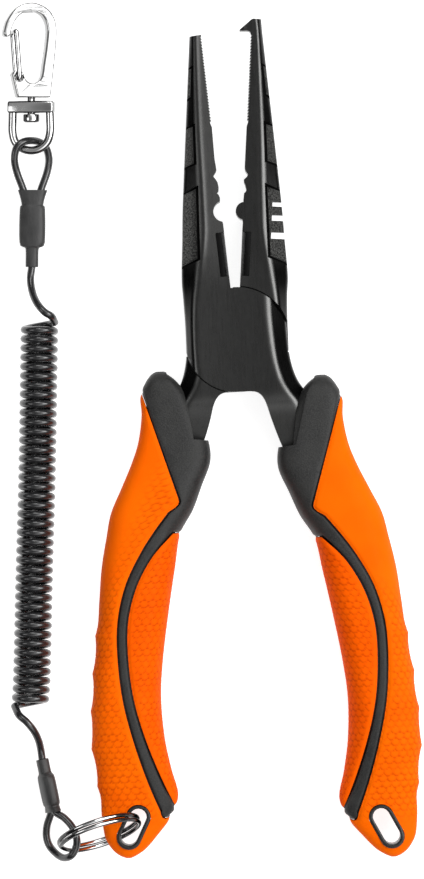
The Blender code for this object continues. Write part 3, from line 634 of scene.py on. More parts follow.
def loopLine(way, stand, depth):
    # both legs of a loop end inside its sleeve
    legs = [stand @ Vector((side * cordage["legSpread"], depth, 0)) for side in (-1, 1)]
    legs.sort(key=lambda leg: (leg - Vector(way[0])).length)
    return through([legs[0], *way, legs[1]], 8)


def roundedShape(reach, value, power):
    return reach * np.sign(value) * np.abs(value) ** (2 / power)


def makeSleeve(name, flare, body, length, stand):
    # rows of the wall, outside and then inside: y, half width, half thickness
    outside = [(0, 3.7, 1.55), (flare * 0.5, 3.05, 1.55), (flare - 0.4, 2.75, 1.58), (flare + 0.7, 3.2, 1.85),
               (flare + body - 0.3, 3.2, 1.85), (flare + body + 0.9, 2.1, 1.62),
               (flare + body + 1.6, 1.62, 1.5), (length - 0.3, 1.6, 1.5), (length, 1.5, 1.42)]
    inside = [(length - 0.2, 1.28, 1.28), (flare + body + 1.2, 1.28, 1.28), (flare + body + 0.1, 2.85, 1.55),
              (flare + 0.5, 2.85, 1.55), (flare - 0.6, 2.5, 1.28), (0.3, 3.35, 1.25), (0, 3.5, 1.4)]
    ring = np.array(outside + inside + outside[:1])
    bends = np.vstack([through(ring[:len(outside)], 4), through(ring[len(outside):-1], 3), ring[:1]])
    stops = np.linspace(0, 1, len(bends))

    def shape(turn, way):
        y, wide, thin = (np.interp(way, stops, bends[:, k]) for k in range(3))
        angle = 2 * math.pi * turn
        square = cordage["squareness"]
        return np.stack([roundedShape(wide, np.cos(angle), square), y,
                         roundedShape(thin, np.sin(angle), square)], 1)

    return smooth(place(rollTube(name, 48, len(bends) - 1, shape, ends=False), stand), 50)


def makeLanyard():
    radius = cordage["radius"]
    helix = coilLine()
    lead = through(cordage["lowerLead"] + [tuple(helix[1])], 6)[:-1]
    tail = through([tuple(helix[-2])] + cordage["upperLead"], 6)[1:]
    made = {"line": np.vstack([lead, helix[1:-1], tail])}
    made["cord"] = wire("lanyardCord", made["line"], radius)
    finishPiece(made["cord"], finishes["cord"], "rear_half", "cord_plastic",
                "lower_lead", "lanyard_coil", "upper_lead")
    plan = swivelFrame()
    plan.translation.z = 0
    routes = {"upper": [tuple(plan @ Vector(point)) for point in cordage["upperLoop"]],
              "lower": cordage["lowerLoop"]}
    stands = {}
    for end, route in routes.items():
        stands[end] = sleeveFrame(cordage[end + "Mouth"], cordage[end + "Neck"], cordage[end + "Roll"])
        made[end + "Line"] = loopLine(route, stands[end], cordage[end + "Depth"])
        made[end + "Loop"] = wire(end + "CordLoop", made[end + "Line"], radius, 5)
        finishPiece(made[end + "Loop"], finishes["cord"], "rear_half", "cord_plastic", end + "_loop")
    for end, stand in stands.items():
        made[end + "Sleeve"] = makeSleeve(end + "Sleeve", *cordage[end + "Sleeve"], stand)
        finishPiece(made[end + "Sleeve"], finishes["sleeve"], "rear_half", "sleeve_plastic",
                    end + "_shrink_tube")
    return made


lanyard = makeLanyard()
print("lanyard made")


# Split ring, swivel and snap hook

ringShape = {
    "centre": (-39.8, -121.5, -2.95), "radius": 10.3, "wire": 0.55, "turn": 16, "tilt": 73,
    # in turns: where the wire starts, its length, where it steps over itself, and where its seam is
    "start": 0.1, "length": 1.8, "stepStart": 0.9, "stepEnd": 1.1, "seam": 0.55, "step": 1.25,
}
hookShape = {
    "rounding": 0.4, "bowWire": 1.05, "bowReach": 11.0, "bowHalf": 4.85, "bar": (11.8, 3.0, 3.2),
    "barShift": -0.1, "barRound": 0.55, "gateWire": 0.6, "gateRoom": 0.25, "gateHinge": (-3.45, 7.3),
    "half": 2.0, "flatFace": 0.3,
    "outer": [(4.5, 2.3), (5.2, 8.0), (5.9, 15.0), (6.05, 20.0), (4.9, 23.4), (2.6, 25.3),
              (-0.6, 26.0), (-4.0, 24.7), (-6.4, 21.6), (-7.3, 18.6)],
    "inner": [(-5.8, 17.7), (-5.3, 19.6), (-4.2, 21.8), (-2.3, 23.5), (0.2, 23.9), (2.6, 22.8),
              (3.8, 20.0), (3.6, 16.0), (2.9, 11.0), (2.3, 7.4), (1.1, 6.0), (-0.4, 5.8),
              (-1.7, 6.7), (-2.6, 8.7)],
    "tip": [(-7.15, 17.75), (-6.75, 17.4), (-6.2, 17.35)], "foot": [(-4.3, 9.2), (-5.2, 8.2), (-3.8, 2.3)],
}


def hookOutline():
    outer, inner = (through(hookShape[side], 6).tolist() for side in ("outer", "inner"))
    return outer + hookShape["tip"] + inner + hookShape["foot"]


def makeSplitRing():
    turn = ringShape["start"] + ringShape["length"] * np.linspace(0, 1, 260)
    z = ringShape["step"] * (ease(turn, ringShape["stepStart"], ringShape["stepEnd"]) - 0.5)
    angle = 2 * math.pi * (turn + ringShape["seam"])
    line = np.stack([ringShape["radius"] * np.cos(angle), ringShape["radius"] * np.sin(angle), z], 1)
    stand = (Matrix.Translation(ringShape["centre"]) @ turnMatrix(ringShape["turn"], "Z")
             @ turnMatrix(ringShape["tilt"], "X"))
    ring = place(wireMesh("splitRing", line, ringShape["wire"]), stand)
    finishPiece(ring, finishes["chrome"], "ring", "chrome_wire", "split_ring")


def makeBow():
    wide = hookShape["bowHalf"]
    side = [(wide - 0.1, -0.2, 0), (wide, -3.5, 0), (wide, -6.3, 0), (4.15, -8.8, 0), (2.3, -10.45, 0)]
    line = through(side + [(0, -hookShape["bowReach"], 0)] + [(-x, y, z) for x, y, z in reversed(side)], 8)
    bow = wireMesh("swivelBow", line, hookShape["bowWire"], 5)
    bpy.ops.mesh.primitive_cube_add(size=1, location=(0, hookShape["barShift"] * mm, 0))
    bar = named("crossbar")
    bar.scale = Vector(hookShape["bar"]) * mm
    bpy.ops.object.transform_apply()
    modify(bar, "BEVEL", width=hookShape["barRound"] * mm, segments=4)
    place(smooth(combine(bow, bar, "UNION")), swivelFrame(swivel["bowRoll"]))
    return finishPiece(bow, finishes["chrome"], "bow", "chrome_wire", "swivel_bow")


def makeGate():
    side = hookShape["half"] + 0.9
    x, y = hookShape["gateHinge"]
    leg = [(x, y, 0.9), (x, y, side - 0.5), (x - 0.02, y + 0.25, side - 0.12), (x - 0.05, y + 0.7, side),
           (x - 0.8, y + 10.4, side), (x - 0.88, y + 11.1, side - 0.2), (x - 0.9, y + 11.4, side - 0.9)]
    line = through(leg + [(a, b, -c) for a, b, c in reversed(leg)], 6)
    gate = place(wireMesh("hookGate", line, hookShape["gateWire"]), swivelFrame(swivel["hookRoll"]))
    finishPiece(gate, finishes["chrome"], "gate", "chrome_wire", "hook_gate")


def crispFaces(piece, least):
    # the rims of large flat faces are sharp, so that the roundings beside them don't bend their reflections
    rims = set()
    for face in piece.data.polygons:
        if face.area / mm ** 2 > least and abs(face.normal.z) > 0.999:
            rims.update(tuple(sorted(key)) for key in face.edge_keys)
    for edge in piece.data.edges:
        if tuple(sorted(edge.vertices)) in rims:
            edge.use_edge_sharp = True
    return piece


def makeHook():
    half = hookShape["half"]
    hook = plate("snapHook", hookOutline(), -half, half)
    hole = arc(hookShape["gateHinge"], hookShape["gateWire"] + hookShape["gateRoom"], 0, 345, 23)
    combine(hook, plate("gateHole", hole, -2 * half, 2 * half), "DIFFERENCE")
    modify(hook, "BEVEL", width=hookShape["rounding"] * mm, segments=4, angle_limit=math.radians(40),
           use_clamp_overlap=False)
    place(crispFaces(smooth(hook), hookShape["flatFace"]), swivelFrame(swivel["hookRoll"]))
    finishPiece(hook, finishes["chrome"], "hook", "chrome_wire", "hook_body")
    rivet = roundEdges(nodeCopy("swivel_pin", "swivelRivet"), 0.15, 0.2, 30, 2)
    finishPiece(rivet, finishes["chrome"], "hook", "chrome_wire", "swivel_pin")


makeSplitRing()
bow = makeBow()
makeGate()
makeHook()
print("hook and ring made")


# Levers and cutter blades. Both levers are drawn with the jaw on the +X side and the tang on the -X side;
# the front one is then mirrored.

leverShape = {
    # jaw row: y, ridge, outer edge, half thickness, drawn closed
    "jaw": [(84.0, 1.0, 2.1, 2.4), (80.8, 1.5, 2.6, 2.6), (76.4, 2.2, 3.2, 2.8), (63.5, 3.3, 5.2, 3.4),
            (52.0, 4.1, 7.0, 4.0), (34.5, 5.1, 9.7, 4.85), (26.0, 5.9, 10.8, 5.25), (16.8, 8.0, 12.0, 5.5)],
    # body row: y, left edge, left ridge, right ridge, right edge, half thickness
    "body": [(10.4, -12.4, -8.0, 10.4, 13.0, 5.5), (4.0, -12.4, -8.2, 11.0, 12.8, 5.5),
             (-4.0, -12.9, -9.0, 11.0, 12.8, 5.5), (-9.5, -14.2, -10.3, 10.5, 12.8, 5.5),
             (-13.3, -16.3, -12.0, 9.0, 11.0, 5.4), (-16.0, -18.2, -13.6, 6.0, 8.0, 5.0),
             (-19.5, -19.3, -15.3, 2.0, 4.0, 4.4)],
    "tang": [(-24.5, -20.2, -17.6, 0.0, 1.0, 3.7), (-30.0, -21.4, -20.0, -4.0, -3.0, 3.0),
             (-38.0, -23.4, -22.4, -8.0, -7.0, 3.0), (-50.0, -27.6, -26.8, -12.0, -11.0, 3.0),
             (-60.0, -31.0, -30.2, -16.0, -15.0, 3.0), (-80.0, -33.5, -32.7, -20.0, -19.0, 3.0),
             (-106.0, -34.4, -33.6, -22.0, -21.0, 3.0)],
    "tangInner": [(-28.6, -106.0), (-27.6, -80.0), (-24.6, -60.0), (-21.0, -50.0), (-15.6, -38.0),
                  (-11.8, -30.0), (-9.2, -24.5), (-7.6, -19.8), (-6.8, -16.8), (-6.1, -15.0), (-5.2, -13.8),
                  (-4.2, -13.2), (-2.8, -13.0), (1.2, -13.0)],
    "jointRadius": 13.1, "middle": -5.5, "gap": 0.3, "frontOpening": 4.1, "rearOpening": 4.9,
    "tilt": 0.1, "step": 0.16, "dish": 0.2, "ridgeRound": 1.25, "rimRound": 0.9, "rimShare": 0.45,
    "toothPitch": 0.76, "toothDepth": 0.4, "toothTop": 76.4, "toothBottom": 54.2,
    "slots": [(34.2, 1.1), (30.8, 1.4), (26.4, 1.6)], "slotStart": 7.4,
    "mostCut": 0.46, "jawFade": (11, 26), "jointFade": (-17, -9), "dishReach": 9.5,
    "bladeLow": 16.0, "bladeHigh": 27.0, "bladeWidth": 2.3, "bladeRoom": 0.03, "rivetHole": 4.9,
    "rearLap": (-5.65, 1), "frontLap": (-12, -5.35), "frontShift": (-0.9, -2.5),
    # outlines run this far out to the left and right, and plates this far down and up
    "farLeft": -48, "farRight": 24, "through": (-14, 3),
}
recesses = [
    # ridge at its top and bottom, top, bottom, lean of its ends, depth of its bed
    (2.95, 4.0, 69.4, 61.2, 6.0, 2.2), (4.25, 5.0, 54.9, 44.6, 4.0, 2.7), (5.2, 6.8, 39.4, 20.8, 4.0, 3.3),
]
padShape = {"moat": 0.62, "rise": 0.5, "edge": 0.16, "outside": 18, "outward": 9, "close": 0.03}


def turned(spots, angle):
    cosine, sine = math.cos(math.radians(angle)), math.sin(math.radians(angle))
    return [(x * cosine - y * sine, x * sine + y * cosine) for x, y in spots]


def leverRows(opening, shift):
    rows = []
    for y, ridge, edge, half in leverShape["jaw"]:
        (rx, ry), (ex, ey) = turned([(ridge, y), (edge, y)], -opening)
        rows.append((-12.4, ry, -8.0, ry, rx, ry, ex, ey, half))
    for part, (x, down) in (("body", (0, 0)), ("tang", shift)):
        for y, left, leftRidge, ridge, edge, half in leverShape[part]:
            y += down
            rows.append((left + x, y, leftRidge + x, y, ridge + x, y, edge + x, y, half))
    return through(rows, 12)


def cutBack(side, reach):
    # how far a rounding goes along one side of a corner
    return side * min(reach / np.linalg.norm(side), leverShape["mostCut"])


def leverRing(row):
    # eight corners of the section, each rounded, with the front and back faces a little hollow
    lx, ly, lrx, lry, rrx, rry, rx, ry, half = row
    rim = half * leverShape["rimShare"]
    front = [(rx, ry, rim), (rrx, rry, half), (lrx, lry, half), (lx, ly, rim)]
    corners = np.array(front + [(x, y, -z) for x, y, z in reversed(front)])
    cuts = [leverShape[key] for key in ("rimRound", "ridgeRound", "ridgeRound", "rimRound")] * 2
    ring = []
    for k, corner in enumerate(corners):
        following = corners[(k + 1) % 8]
        start = corner + cutBack(corners[k - 1] - corner, cuts[k])
        end = corner + cutBack(following - corner, cuts[k])
        for t in np.linspace(0, 1, 8):
            ring.append(start * (1 - t) ** 2 + corner * 2 * t * (1 - t) + end * t ** 2)
        if k in (1, 5):  # the broad front and back faces take more points
            far = following - cutBack(following - corner, cuts[k])
            for t in np.linspace(0, 1, 26)[1:-1]:
                ring.append(end + (far - end) * t)
    ring = np.array(ring)
    inward = np.clip(rrx - ring[:, 0] - 0.2, 0, 7)
    jaw = ease(ring[:, 1], *leverShape["jawFade"])
    sink = jaw * (leverShape["step"] * ease(inward, 0.3, 1.3) + leverShape["tilt"] * inward)
    joint = (1 - jaw) * ease(ring[:, 1], *leverShape["jointFade"])
    sink += joint * leverShape["dish"] * np.clip(1 - (ring[:, 0] / leverShape["dishReach"]) ** 2, 0, 1)
    ring[:, 2] -= np.sign(ring[:, 2]) * sink * (np.abs(ring[:, 2]) > half * 0.6)
    ring[:, 2] += leverShape["middle"]
    return ring


def teeth(edge):
    count = round((leverShape["toothTop"] - leverShape["toothBottom"]) / leverShape["toothPitch"])
    line = []
    for k in range(count):
        y = leverShape["toothTop"] - k * leverShape["toothPitch"]
        line += [(edge, y), (edge + leverShape["toothDepth"], y - leverShape["toothPitch"] / 2)]
    return line


def hookedEdge():
    tip = [(16, 80.4), (0.6, 80.3), (0.1, 80.0), (-2.6, 77.45), (-2.65, 77.25), (-2.5, 77.15), (-0.6, 77.2),
           (-0.1, 77.05), (0.15, 76.7)]
    crimper = [(0.15, 53.4), (0.1, 43.1), (0.25, 42.3), (1.0, 41.3), (0.7, 40.7), (0.0, 40.0), (0.1, 39.3),
               (0.4, 38.7), (0.75, 37.4), (0.55, 36.9), (0.2, 36.6), (0.1, 34.9)]
    bump = arc((0.55, 32.2), 2.25, 100, 258, 18)
    return tip + teeth(0.15) + crimper + bump + [(0.2, 29.4), (0.15, 27.4), (0.15, 12.5)]


def plainEdge():
    crimper = [(0.15, 53.4), (0.4, 45.4), (0.25, 42.7), (0.5, 42.2), (1.25, 41.2), (0.7, 40.3), (0.35, 39.6),
               (0.2, 38.4), (0.35, 37.4), (0.85, 36.8), (0.45, 36.5), (0.2, 35.6)]
    hollow = arc((-0.35, 32.2), 2.6, 76, -76, 18)
    return [(16, 76.1), (0.15, 76.7)] + teeth(0.15) + crimper + hollow + [(0.15, 29.1), (0.15, 12.5)]


def leverOutline(edge, opening, shift):
    left, right = leverShape["farLeft"], leverShape["farRight"]
    leftDisc = arc((0, 0), leverShape["jointRadius"], 92 - opening, 196, 60)
    rightDisc = arc((0, 0), leverShape["jointRadius"], -81, -10, 48)
    tang = through([(x + shift[0] * ease(-y, 16, 26), y + shift[1] * ease(-y, 16, 26))
                    for x, y in leverShape["tangInner"]], 6).tolist()
    return (turned(edge, -opening) + leftDisc + [(left, leftDisc[-1][1]), (left, -106 + shift[1])]
            + tang + rightDisc + [(right, rightDisc[-1][1]), (right, 80)])


def recessPlan(ridgeTop, ridgeBottom, top, bottom, lean, inset=0.0):
    outside = padShape["outside"]
    slope = lean / (outside - ridgeBottom)
    high = (ridgeTop + inset, top - inset * 1.2)
    low = (ridgeBottom + inset, bottom + inset * 0.6)
    return [high, low, *((outside, y - slope * (outside - x)) for x, y in (low, high))]


def jawHalf(y):
    rows = sorted((row[0], row[3]) for row in leverShape["jaw"])
    return float(np.interp(y, [row[0] for row in rows], [row[1] for row in rows]))


def cutRecesses(lever, opening):
    # each recess has a pad in it that stands a little above its bed
    middle = leverShape["middle"]
    tops, beds = [], []
    for *plan, depth in recesses:
        bed = jawHalf((plan[2] + plan[3]) / 2) - depth
        whole = turned(recessPlan(*plan), -opening)
        pad = turned(recessPlan(*plan, padShape["moat"]), -opening)
        for side in (1, -1):
            floor, padTop = middle + side * bed, middle + side * (bed + padShape["rise"])
            cut = plate("recess", whole, *sorted((floor, middle + side * padShape["outward"])))
            block = plate("pad", pad, *sorted((padTop, middle + side * (bed - 1))))
            modify(block, "BEVEL", width=padShape["edge"] * mm, segments=2, angle_limit=math.radians(40))
            combine(cut, block, "DIFFERENCE")
            combine(lever, cut, "DIFFERENCE")
            tops.append(padTop)
            beds.append(floor)
    return tops, beds


def notch(lever, left, right, low, high, opening):
    outline = turned([(left, low), (right, low), (right, high), (left, high)], -opening)
    combine(lever, plate("notch", outline, *leverShape["through"]), "DIFFERENCE")


def disc(name, radius, low, high):
    bpy.ops.mesh.primitive_cylinder_add(vertices=96, radius=radius * mm, depth=(high - low) * mm,
                                        location=(0, 0, (low + high) / 2 * mm))
    made = named(name)
    bpy.ops.object.transform_apply()
    return made


def paintPads(lever, tops, beds):
    # pads are grained, and moats take the painted shade
    for face in lever.data.polygons:
        z = face.center.z / mm
        flat = abs(face.normal.z) > 0.97
        onPad, inMoat = (flat and min(abs(z - each) for each in heights) < padShape["close"]
                         for heights in (tops, beds))
        face.material_index = 1 if onPad else 2 if inMoat else 0


def makeLever(name, node, body, edge, opening, shift, lap):
    rings = np.array([leverRing(row) for row in leverRows(opening, shift)])
    along, around = rings.shape[0] - 1, rings.shape[1]

    def shape(turn, way):
        spot = np.rint(turn * around).astype(int) % around
        return rings[np.rint(way * along).astype(int), spot]

    lever = rollTube(name, around, along, shape)
    combine(lever, plate("outline", leverOutline(edge, opening, shift), *leverShape["through"]), "INTERSECT")
    combine(lever, disc("lap", leverShape["jointRadius"] + leverShape["gap"], *lap), "DIFFERENCE")
    tops, beds = cutRecesses(lever, opening)
    room = leverShape["bladeRoom"]
    notch(lever, -4, leverShape["bladeWidth"] + room, leverShape["bladeLow"] - room,
          leverShape["bladeHigh"] + room, opening)
    if name == "rearLever":
        for middle, width in leverShape["slots"]:
            notch(lever, leverShape["slotStart"], 20, middle - width / 2, middle + width / 2, opening)
        combine(lever, disc("rivetHole", leverShape["rivetHole"], -12, -9.2), "DIFFERENCE")
    else:
        mirrorAcross(lever)
    smooth(lever, 38)
    # large flat faces keep their shading flat up to a rounded edge
    modify(lever, "WEIGHTED_NORMAL", keep_sharp=True, weight=80)
    finishPiece(lever, [finishes["black"], finishes["grained"], finishes["moat"]], body, "black_steel", node)
    paintPads(lever, tops, beds)


makeLever("rearLever", "rear_lever", "rear_half", hookedEdge(), leverShape["rearOpening"], (0, 0),
          leverShape["rearLap"])
makeLever("frontLever", "front_lever", "front_half", plainEdge(), leverShape["frontOpening"],
          leverShape["frontShift"], leverShape["frontLap"])
for side, body in (("right", "rear_half"), ("left", "front_half")):
    blade = roundEdges(nodeCopy(side + "_cutter_blade", side + "CutterBlade"), 0.12, 0.5, 20, 2)
    finishPiece(blade, finishes["cutter"], body, "cutter_steel", side + "_cutter_blade")
print("levers made")


# Handles. All is drawn for the left one; the right one is its mirror image, shifted.
# A row is y, outer edge, inner edge, half thickness, squareness.

handleShape = {
    "rows": [
        (-7.1, -20.7, -18.6, 2.6, 3.2), (-7.9, -22.0, -16.8, 4.4, 3.4), (-9.8, -23.4, -14.6, 5.9, 3.6),
        (-13.0, -24.8, -12.4, 6.5, 3.8), (-18.0, -24.7, -10.4, 6.9, 3.8), (-24.5, -25.8, -8.3, 7.2, 3.8),
        (-30.0, -27.8, -8.0, 7.5, 3.6), (-36.0, -30.6, -10.4, 7.9, 3.4), (-42.0, -33.4, -12.9, 8.2, 3.1),
        (-48.0, -34.8, -16.4, 8.5, 2.8), (-56.0, -36.4, -18.0, 8.7, 2.6), (-66.0, -37.5, -19.9, 8.7, 2.5),
        (-78.0, -39.0, -21.9, 8.7, 2.5), (-88.0, -40.0, -22.9, 8.7, 2.5), (-98.0, -40.6, -22.5, 7.8, 2.5),
        (-106.0, -39.9, -21.2, 6.4, 2.5), (-113.0, -39.1, -19.7, 4.9, 2.6), (-118.5, -38.9, -21.8, 4.2, 2.8),
        (-123.0, -38.3, -25.4, 4.0, 2.8), (-126.0, -36.6, -28.2, 3.4, 2.6), (-127.5, -34.9, -30.4, 2.5, 2.4),
        (-128.2, -33.4, -31.9, 1.3, 2.2),
    ],
    "stripe": [(-17.4, -43.8, 2.3), (-21.4, -48.2, 1.9), (-25.3, -53.2, 1.5), (-29.2, -60.5, 1.4),
               (-31.5, -69.0, 1.35), (-31.9, -78.0, 1.35), (-31.0, -88.5, 1.4), (-28.6, -98.9, 1.55),
               (-25.3, -109.0, 1.8), (-21.9, -117.4, 2.0), (-20.2, -122.0, 2.1)],
    "stripeEnd": [(-24.1, -117.7), (-23.8, -118.4), (-23.2, -118.75), (-22.5, -118.6), (-21.4, -117.9),
                  (-18.0, -116.2)],
    "slant": [(-26.4, -6.0), (-16.4, -38.9), (-16.25, -39.7), (-16.5, -40.4), (-17.2, -41.1)],
    "capEdge": [(-18.9, -4.0), (-17.9, -7.9), (-15.9, -11.6), (-12.6, -24.3), (-8.0, -24.8),
                (2, -24.8), (2, -4.0)],
    "lipEdge": [(-16.6, -4.0), (-15.6, -8.2), (-14.3, -10.4), (-13.2, -15.0), (-11.9, -24.4), (-8.0, -24.8),
                (2, -24.8), (2, -4.0)],
    "lipDrop": 0.9,
    "middle": -5.5, "flat": 8.3, "wall": 1.25, "gap": 0.55, "shift": (0.9, -2.5),
    "bumpsStart": -64, "bumpsEnd": -116, "bumpPeak": -72.4, "bumpPitch": 9.4, "bumpRise": 0.5,
    "holeCentre": (-31.1, -120.4), "holeLean": 27, "holeLength": 5.6, "bushRadius": 3.1,
    "edgeSink": 0.5, "edgeWidth": 1.0, "girth": 59.4, "step": 0.36, "coreStep": 1.2, "lipStep": 0.8,
    "hollowEnd": -122.3, "hollowRoom": 0.9, "coreEnd": -122.2, "coreRoom": 1.0, "coreClear": 0.1,
    "capTop": -8.3, "lipTop": -7.6, "lipBottom": -60, "bushRoom": 0.03, "through": (-20, 8),
    "lipPlan": [(-18.5, -4), (-18.5, -20), (-14, -40), (0, -40), (0, -4)],
    "scalesEnd": (-121, -115), "palm": -47,
    # two points of the slanting line that the scales start from
    "leftScales": ((-19, -22), (-34, -54)), "rightScales": ((-14, -44), (-38, -62)),
}
scaleShape = {"wide": 2.2, "row": 1.5, "radius": 1.3, "rise": 0.22, "groove": 0.24, "grooveWidth": 0.3}


def gripRows():
    # the rows on a smooth curve, evenly spaced along the skin
    rows = through(handleShape["rows"], 30)
    run = np.concatenate([[0], np.cumsum(np.linalg.norm(np.diff(rows[:, :4], axis=0), axis=1))])
    return rows, run


def evenTurns():
    # turn shares that give equal steps round a typical section
    angle = np.linspace(0, 2 * math.pi, 2001)
    x, z = roundedShape(9, np.cos(angle), 2.6), roundedShape(8.5, np.sin(angle), 2.6)
    run = np.concatenate([[0], np.cumsum(np.hypot(np.diff(x), np.diff(z)))])
    return angle, run / run[-1]


def gripForm(name, step, wall=0.0, top=None, bottom=None):
    rows, run = gripRows()
    low = 0 if top is None else np.interp(-top, -rows[:, 0], run)
    high = run[-1] if bottom is None else np.interp(-bottom, -rows[:, 0], run)
    angles, shares = evenTurns()

    def shape(turn, way):
        at = low + (high - low) * way
        y, outer, inner, half, power = (np.interp(at, run, rows[:, k]) for k in range(5))
        bumps = (np.clip((handleShape["bumpsStart"] - y) / 6, 0, 1)
                 * np.clip((y - handleShape["bumpsEnd"]) / 4, 0, 1))
        phase = ((handleShape["bumpPeak"] - y) / handleShape["bumpPitch"]) % 1
        outer = outer - handleShape["bumpRise"] * bumps * (np.abs(1 - 2 * phase) ** 2.2 - 0.35)
        angle = np.interp(turn, shares, angles)
        reach = np.maximum((inner - outer) / 2 - wall, 0.4)
        thick = np.maximum(half - wall, 0.4)
        x = (outer + inner) / 2 + roundedShape(reach, np.cos(angle), power)
        z = roundedShape(thick, np.sin(angle), power)
        over = np.logaddexp(0, (np.abs(z) - handleShape["flat"]) * 4) / 4
        z = np.sign(z) * (np.abs(z) - over)
        return np.stack([x, y, handleShape["middle"] + z], 1)

    return rollTube(name, round(handleShape["girth"] / step), round((high - low) / step), shape)


def stripeSide(side, widen=0.0):
    # on the inner side the gap closes towards the handle's edge, so no light shows through it
    line = through(handleShape["stripe"], 5)
    ahead = np.vstack([line[1:], line[-1:]])
    behind = np.vstack([line[:1], line[:-1]])
    along = (ahead - behind)[:, :2]
    along /= np.linalg.norm(along, axis=1)[:, None]
    across = np.stack([-along[:, 1], along[:, 0]], 1) * side
    if side > 0:
        widen = widen * (0.1 + 0.9 * ease(line[:, 1:2], -115.5, -110.5))
    return (line[:, :2] + across * (line[:, 2:3] + widen)).tolist()


def outerLine(widen=0.0):
    # the seam from the cap's top down its slant and the stripe's outer side, and round the stripe's end
    slant = [(x + widen * (0.15 if y > -8 else 1), y) for x, y in handleShape["slant"]]
    stripe = [point for point in stripeSide(-1, -widen) if point[1] > -117.2]
    shares = [0.9, 0.9, 0.8, 0.5, 0.1, 0.0]
    end = [(x + widen * share * 0.3, y + widen * share)
           for (x, y), share in zip(handleShape["stripeEnd"], shares)]
    return slant + stripe + end


def outerPlan(widen=0.0):
    return outerLine(widen) + [(-5, -116.2), (-5, -140), (-60, -140), (-60, -6.0)]


def innerPlan(widen=0.0):
    start = [(0, -47.6 + widen * 0.1), (-16.6, -47.6 + widen * 0.1), (-18.0 - widen / 2, -47.6 + widen)]
    stripe = [point for point in stripeSide(1, -widen) if point[1] < -49.8]
    return start + stripe + [(0, stripe[-1][1])]


def slotPlan(radius):
    half = handleShape["holeLength"] / 2
    ends = arc((half, 0), radius, -90, 90, 16) + arc((-half, 0), radius, 90, 270, 16)
    lean = math.radians(90 - handleShape["holeLean"])
    cx, cy = handleShape["holeCentre"]
    return [(x * math.cos(lean) - y * math.sin(lean) + cx, x * math.sin(lean) + y * math.cos(lean) + cy)
            for x, y in ends]


def lineDistance(spots, line):
    line = np.array(line)
    best = np.full(len(spots), 1e9)
    for a, b in zip(line, line[1:]):
        way = b - a
        share = np.clip(((spots - a) @ way) / max(way @ way, 1e-9), 0, 1)
        best = np.minimum(best, np.linalg.norm(spots - a - share[:, None] * way, axis=1))
    return best


def fishScales(u, v):
    # overlapping round scales, tips towards the handle's end
    wide, row, radius = scaleShape["wide"], scaleShape["row"], scaleShape["radius"]
    band = np.floor(v / row)
    height = np.zeros_like(u)
    depth = np.zeros_like(u)
    done = np.zeros(len(u), bool)
    for offset in (0, 1):
        line = band + offset
        shift = (line % 2) / 2
        sideways = (u / wide + shift + 0.5) % 1 - 0.5
        far = np.hypot(sideways * wide, v - line * row)
        here = (far < radius) & ~done
        rim = radius - far
        edge = np.exp(-(rim / scaleShape["grooveWidth"]) ** 2)
        lift = scaleShape["rise"] * (far / radius) ** 2 - scaleShape["groove"] * edge
        height[here] = lift[here]
        depth[here] = edge[here]
        done |= here
    return height, depth


def scaleRelief(spots, seam, start):
    # height of the scales and depth of their grooves, which fade out at the seams and at the start line
    rows = gripRows()[0]
    rows = rows[np.argsort(rows[:, 0])]
    x, y = spots[:, 0], spots[:, 1]
    outer, inner, half = (np.interp(y, rows[:, 0], rows[:, k]) for k in (1, 2, 3))
    high = (spots[:, 2] - handleShape["middle"]) / half
    angle = np.arctan2(high, (x - (outer + inner) / 2) / ((inner - outer) / 2))
    angles, shares = evenTurns()
    wide, thick = roundedShape(1, np.cos(angles), 2.6), roundedShape(1, np.sin(angles), 2.6)
    around = np.interp(angle % (2 * math.pi), np.unwrap(np.arctan2(thick, wide)), shares)
    scales, depth = fishScales(around * handleShape["girth"], -y)
    (ax, ay), (bx, by) = start
    side = ((x - ax) * (by - ay) - (y - ay) * (bx - ax)) / math.hypot(bx - ax, by - ay)
    stripe = np.array(handleShape["stripe"])[::-1]
    inside = x > np.interp(y, stripe[:, 1], stripe[:, 0])
    mask = np.where(inside & (y < handleShape["palm"]), 1.0, ease(-side, -1.0, 5.0))
    mask *= ease(seam, 0.5, 1.6) * ease(y, *handleShape["scalesEnd"])
    return scales * mask, depth * mask


def liftSkin(form, start=None):
    # sink the skin along the seams, and raise the scales from their start line on
    spots = points(form)
    seam = np.minimum(lineDistance(spots[:, :2], outerLine()), lineDistance(spots[:, :2], innerPlan()[:-1]))
    lift = -handleShape["edgeSink"] * np.clip(1 - seam / handleShape["edgeWidth"], 0, 1) ** 2
    if start:
        scales, depth = scaleRelief(spots, seam, start)
        lift += scales
        # the groove depth also drives the painted shade in the rubber's grooves
        groove = form.data.attributes.new("grooveShadeDepth", "FLOAT", "POINT")
        groove.data.foreach_set("value", depth)
    normals = np.empty(len(form.data.vertices) * 3)
    form.data.vertices.foreach_get("normal", normals)
    moved = (spots + normals.reshape(-1, 3) * lift[:, None]) * mm
    form.data.vertices.foreach_set("co", moved.ravel())
    form.data.update()
    return form


def trim(form, outline, operation="DIFFERENCE"):
    return combine(form, plate("trim", outline, *handleShape["through"]), operation)


def insideForm(name, wall, end, room):
    # the space under the soft skin, with room left round the lanyard hole
    form = gripForm(name, handleShape["coreStep"], wall, handleShape["capTop"], end)
    return trim(form, slotPlan(handleShape["bushRadius"] + room))


def makeGrip(name, form, plan, *cuts):
    # one soft part of the skin, hollowed out for the core
    grip = trim(form, plan, "INTERSECT")
    hollow = insideForm("hollow", handleShape["wall"], handleShape["hollowEnd"], handleShape["hollowRoom"])
    combine(grip, hollow, "DIFFERENCE")
    for outline in cuts:
        trim(grip, outline)
    grip.name = name
    return smooth(grip, 50)


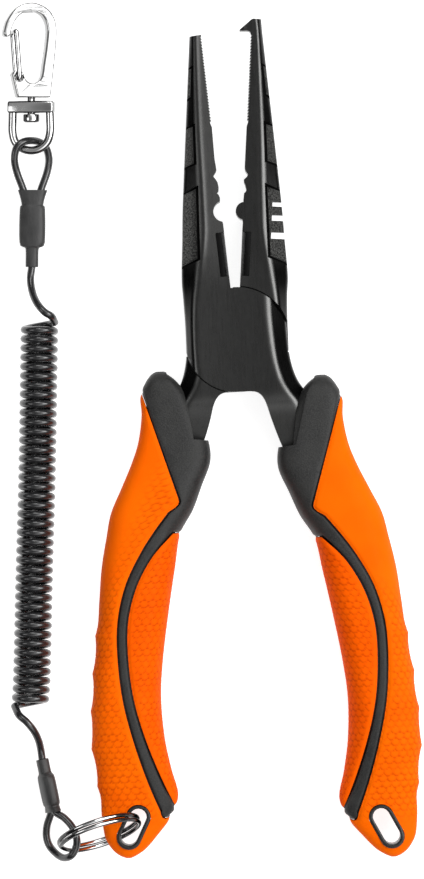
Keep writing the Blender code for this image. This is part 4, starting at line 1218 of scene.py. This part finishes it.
def makeCore(name, form):
    # the hard part shows between the soft ones, with a lip round the neck
    gap, capEdge, lipEdge = (handleShape[key] for key in ("gap", "capEdge", "lipEdge"))
    lip = gripForm("lip", handleShape["lipStep"], handleShape["lipDrop"], handleShape["lipTop"],
                   handleShape["lipBottom"])
    trim(trim(lip, lipEdge), handleShape["lipPlan"], "INTERSECT")
    for outline in (outerPlan(gap), innerPlan(gap), capEdge):
        trim(form, outline)
    wall = handleShape["wall"] + handleShape["coreClear"]
    core = trim(insideForm(name, wall, handleShape["coreEnd"], handleShape["coreRoom"]), lipEdge)
    combine(core, form, "UNION")
    combine(core, lip, "UNION")
    core.name = name
    return smooth(core)


def makeHandles():
    plain = gripForm("gripForm", handleShape["step"])
    core = makeCore("leftCore", liftSkin(copyOf(plain, "coreSkin")))
    hole = slotPlan(handleShape["bushRadius"] + handleShape["bushRoom"])
    for side, body in (("left", "rear_half"), ("right", "front_half")):
        form = liftSkin(copyOf(plain, side + "Skin"), handleShape[side + "Scales"])
        parts = {
            "outer": makeGrip(side + "OuterGrip", copyOf(form, "outerForm"), outerPlan(),
                              handleShape["capEdge"], hole),
            "inner": makeGrip(side + "InnerGrip", form, innerPlan()),
            "core": copyOf(core, side + "HandleCore"),
        }
        if side == "right":
            for piece in parts.values():
                mirrorAcross(piece, handleShape["shift"])
        finishPiece(parts["outer"], finishes["outer"], body, "outer_rubber", side + "_outer_grip")
        finishPiece(parts["inner"], finishes["inner"], body, "inner_rubber", side + "_inner_grip")
        finishPiece(parts["core"], finishes["core"], body, "core_plastic", side + "_handle_core")
        bush = roundEdges(nodeCopy(side + "_lanyard_bush", side + "LanyardBush"), 0.3, 0.2, 60)
        finishPiece(bush, finishes["bush"], body, "bush_plastic", side + "_lanyard_bush")
        print(side, "handle made")
    for spare in (plain, core):
        bpy.data.objects.remove(spare)


makeHandles()


# Fixed pieces that keep their shape

for node, finish in (("pivot_pin", "black"), ("return_spring", "wire"),
                     ("upper_ferrule", "ferrule"), ("lower_ferrule", "ferrule")):
    nodes[node].data.materials.clear()
    nodes[node].data.materials.append(finishes[finish])
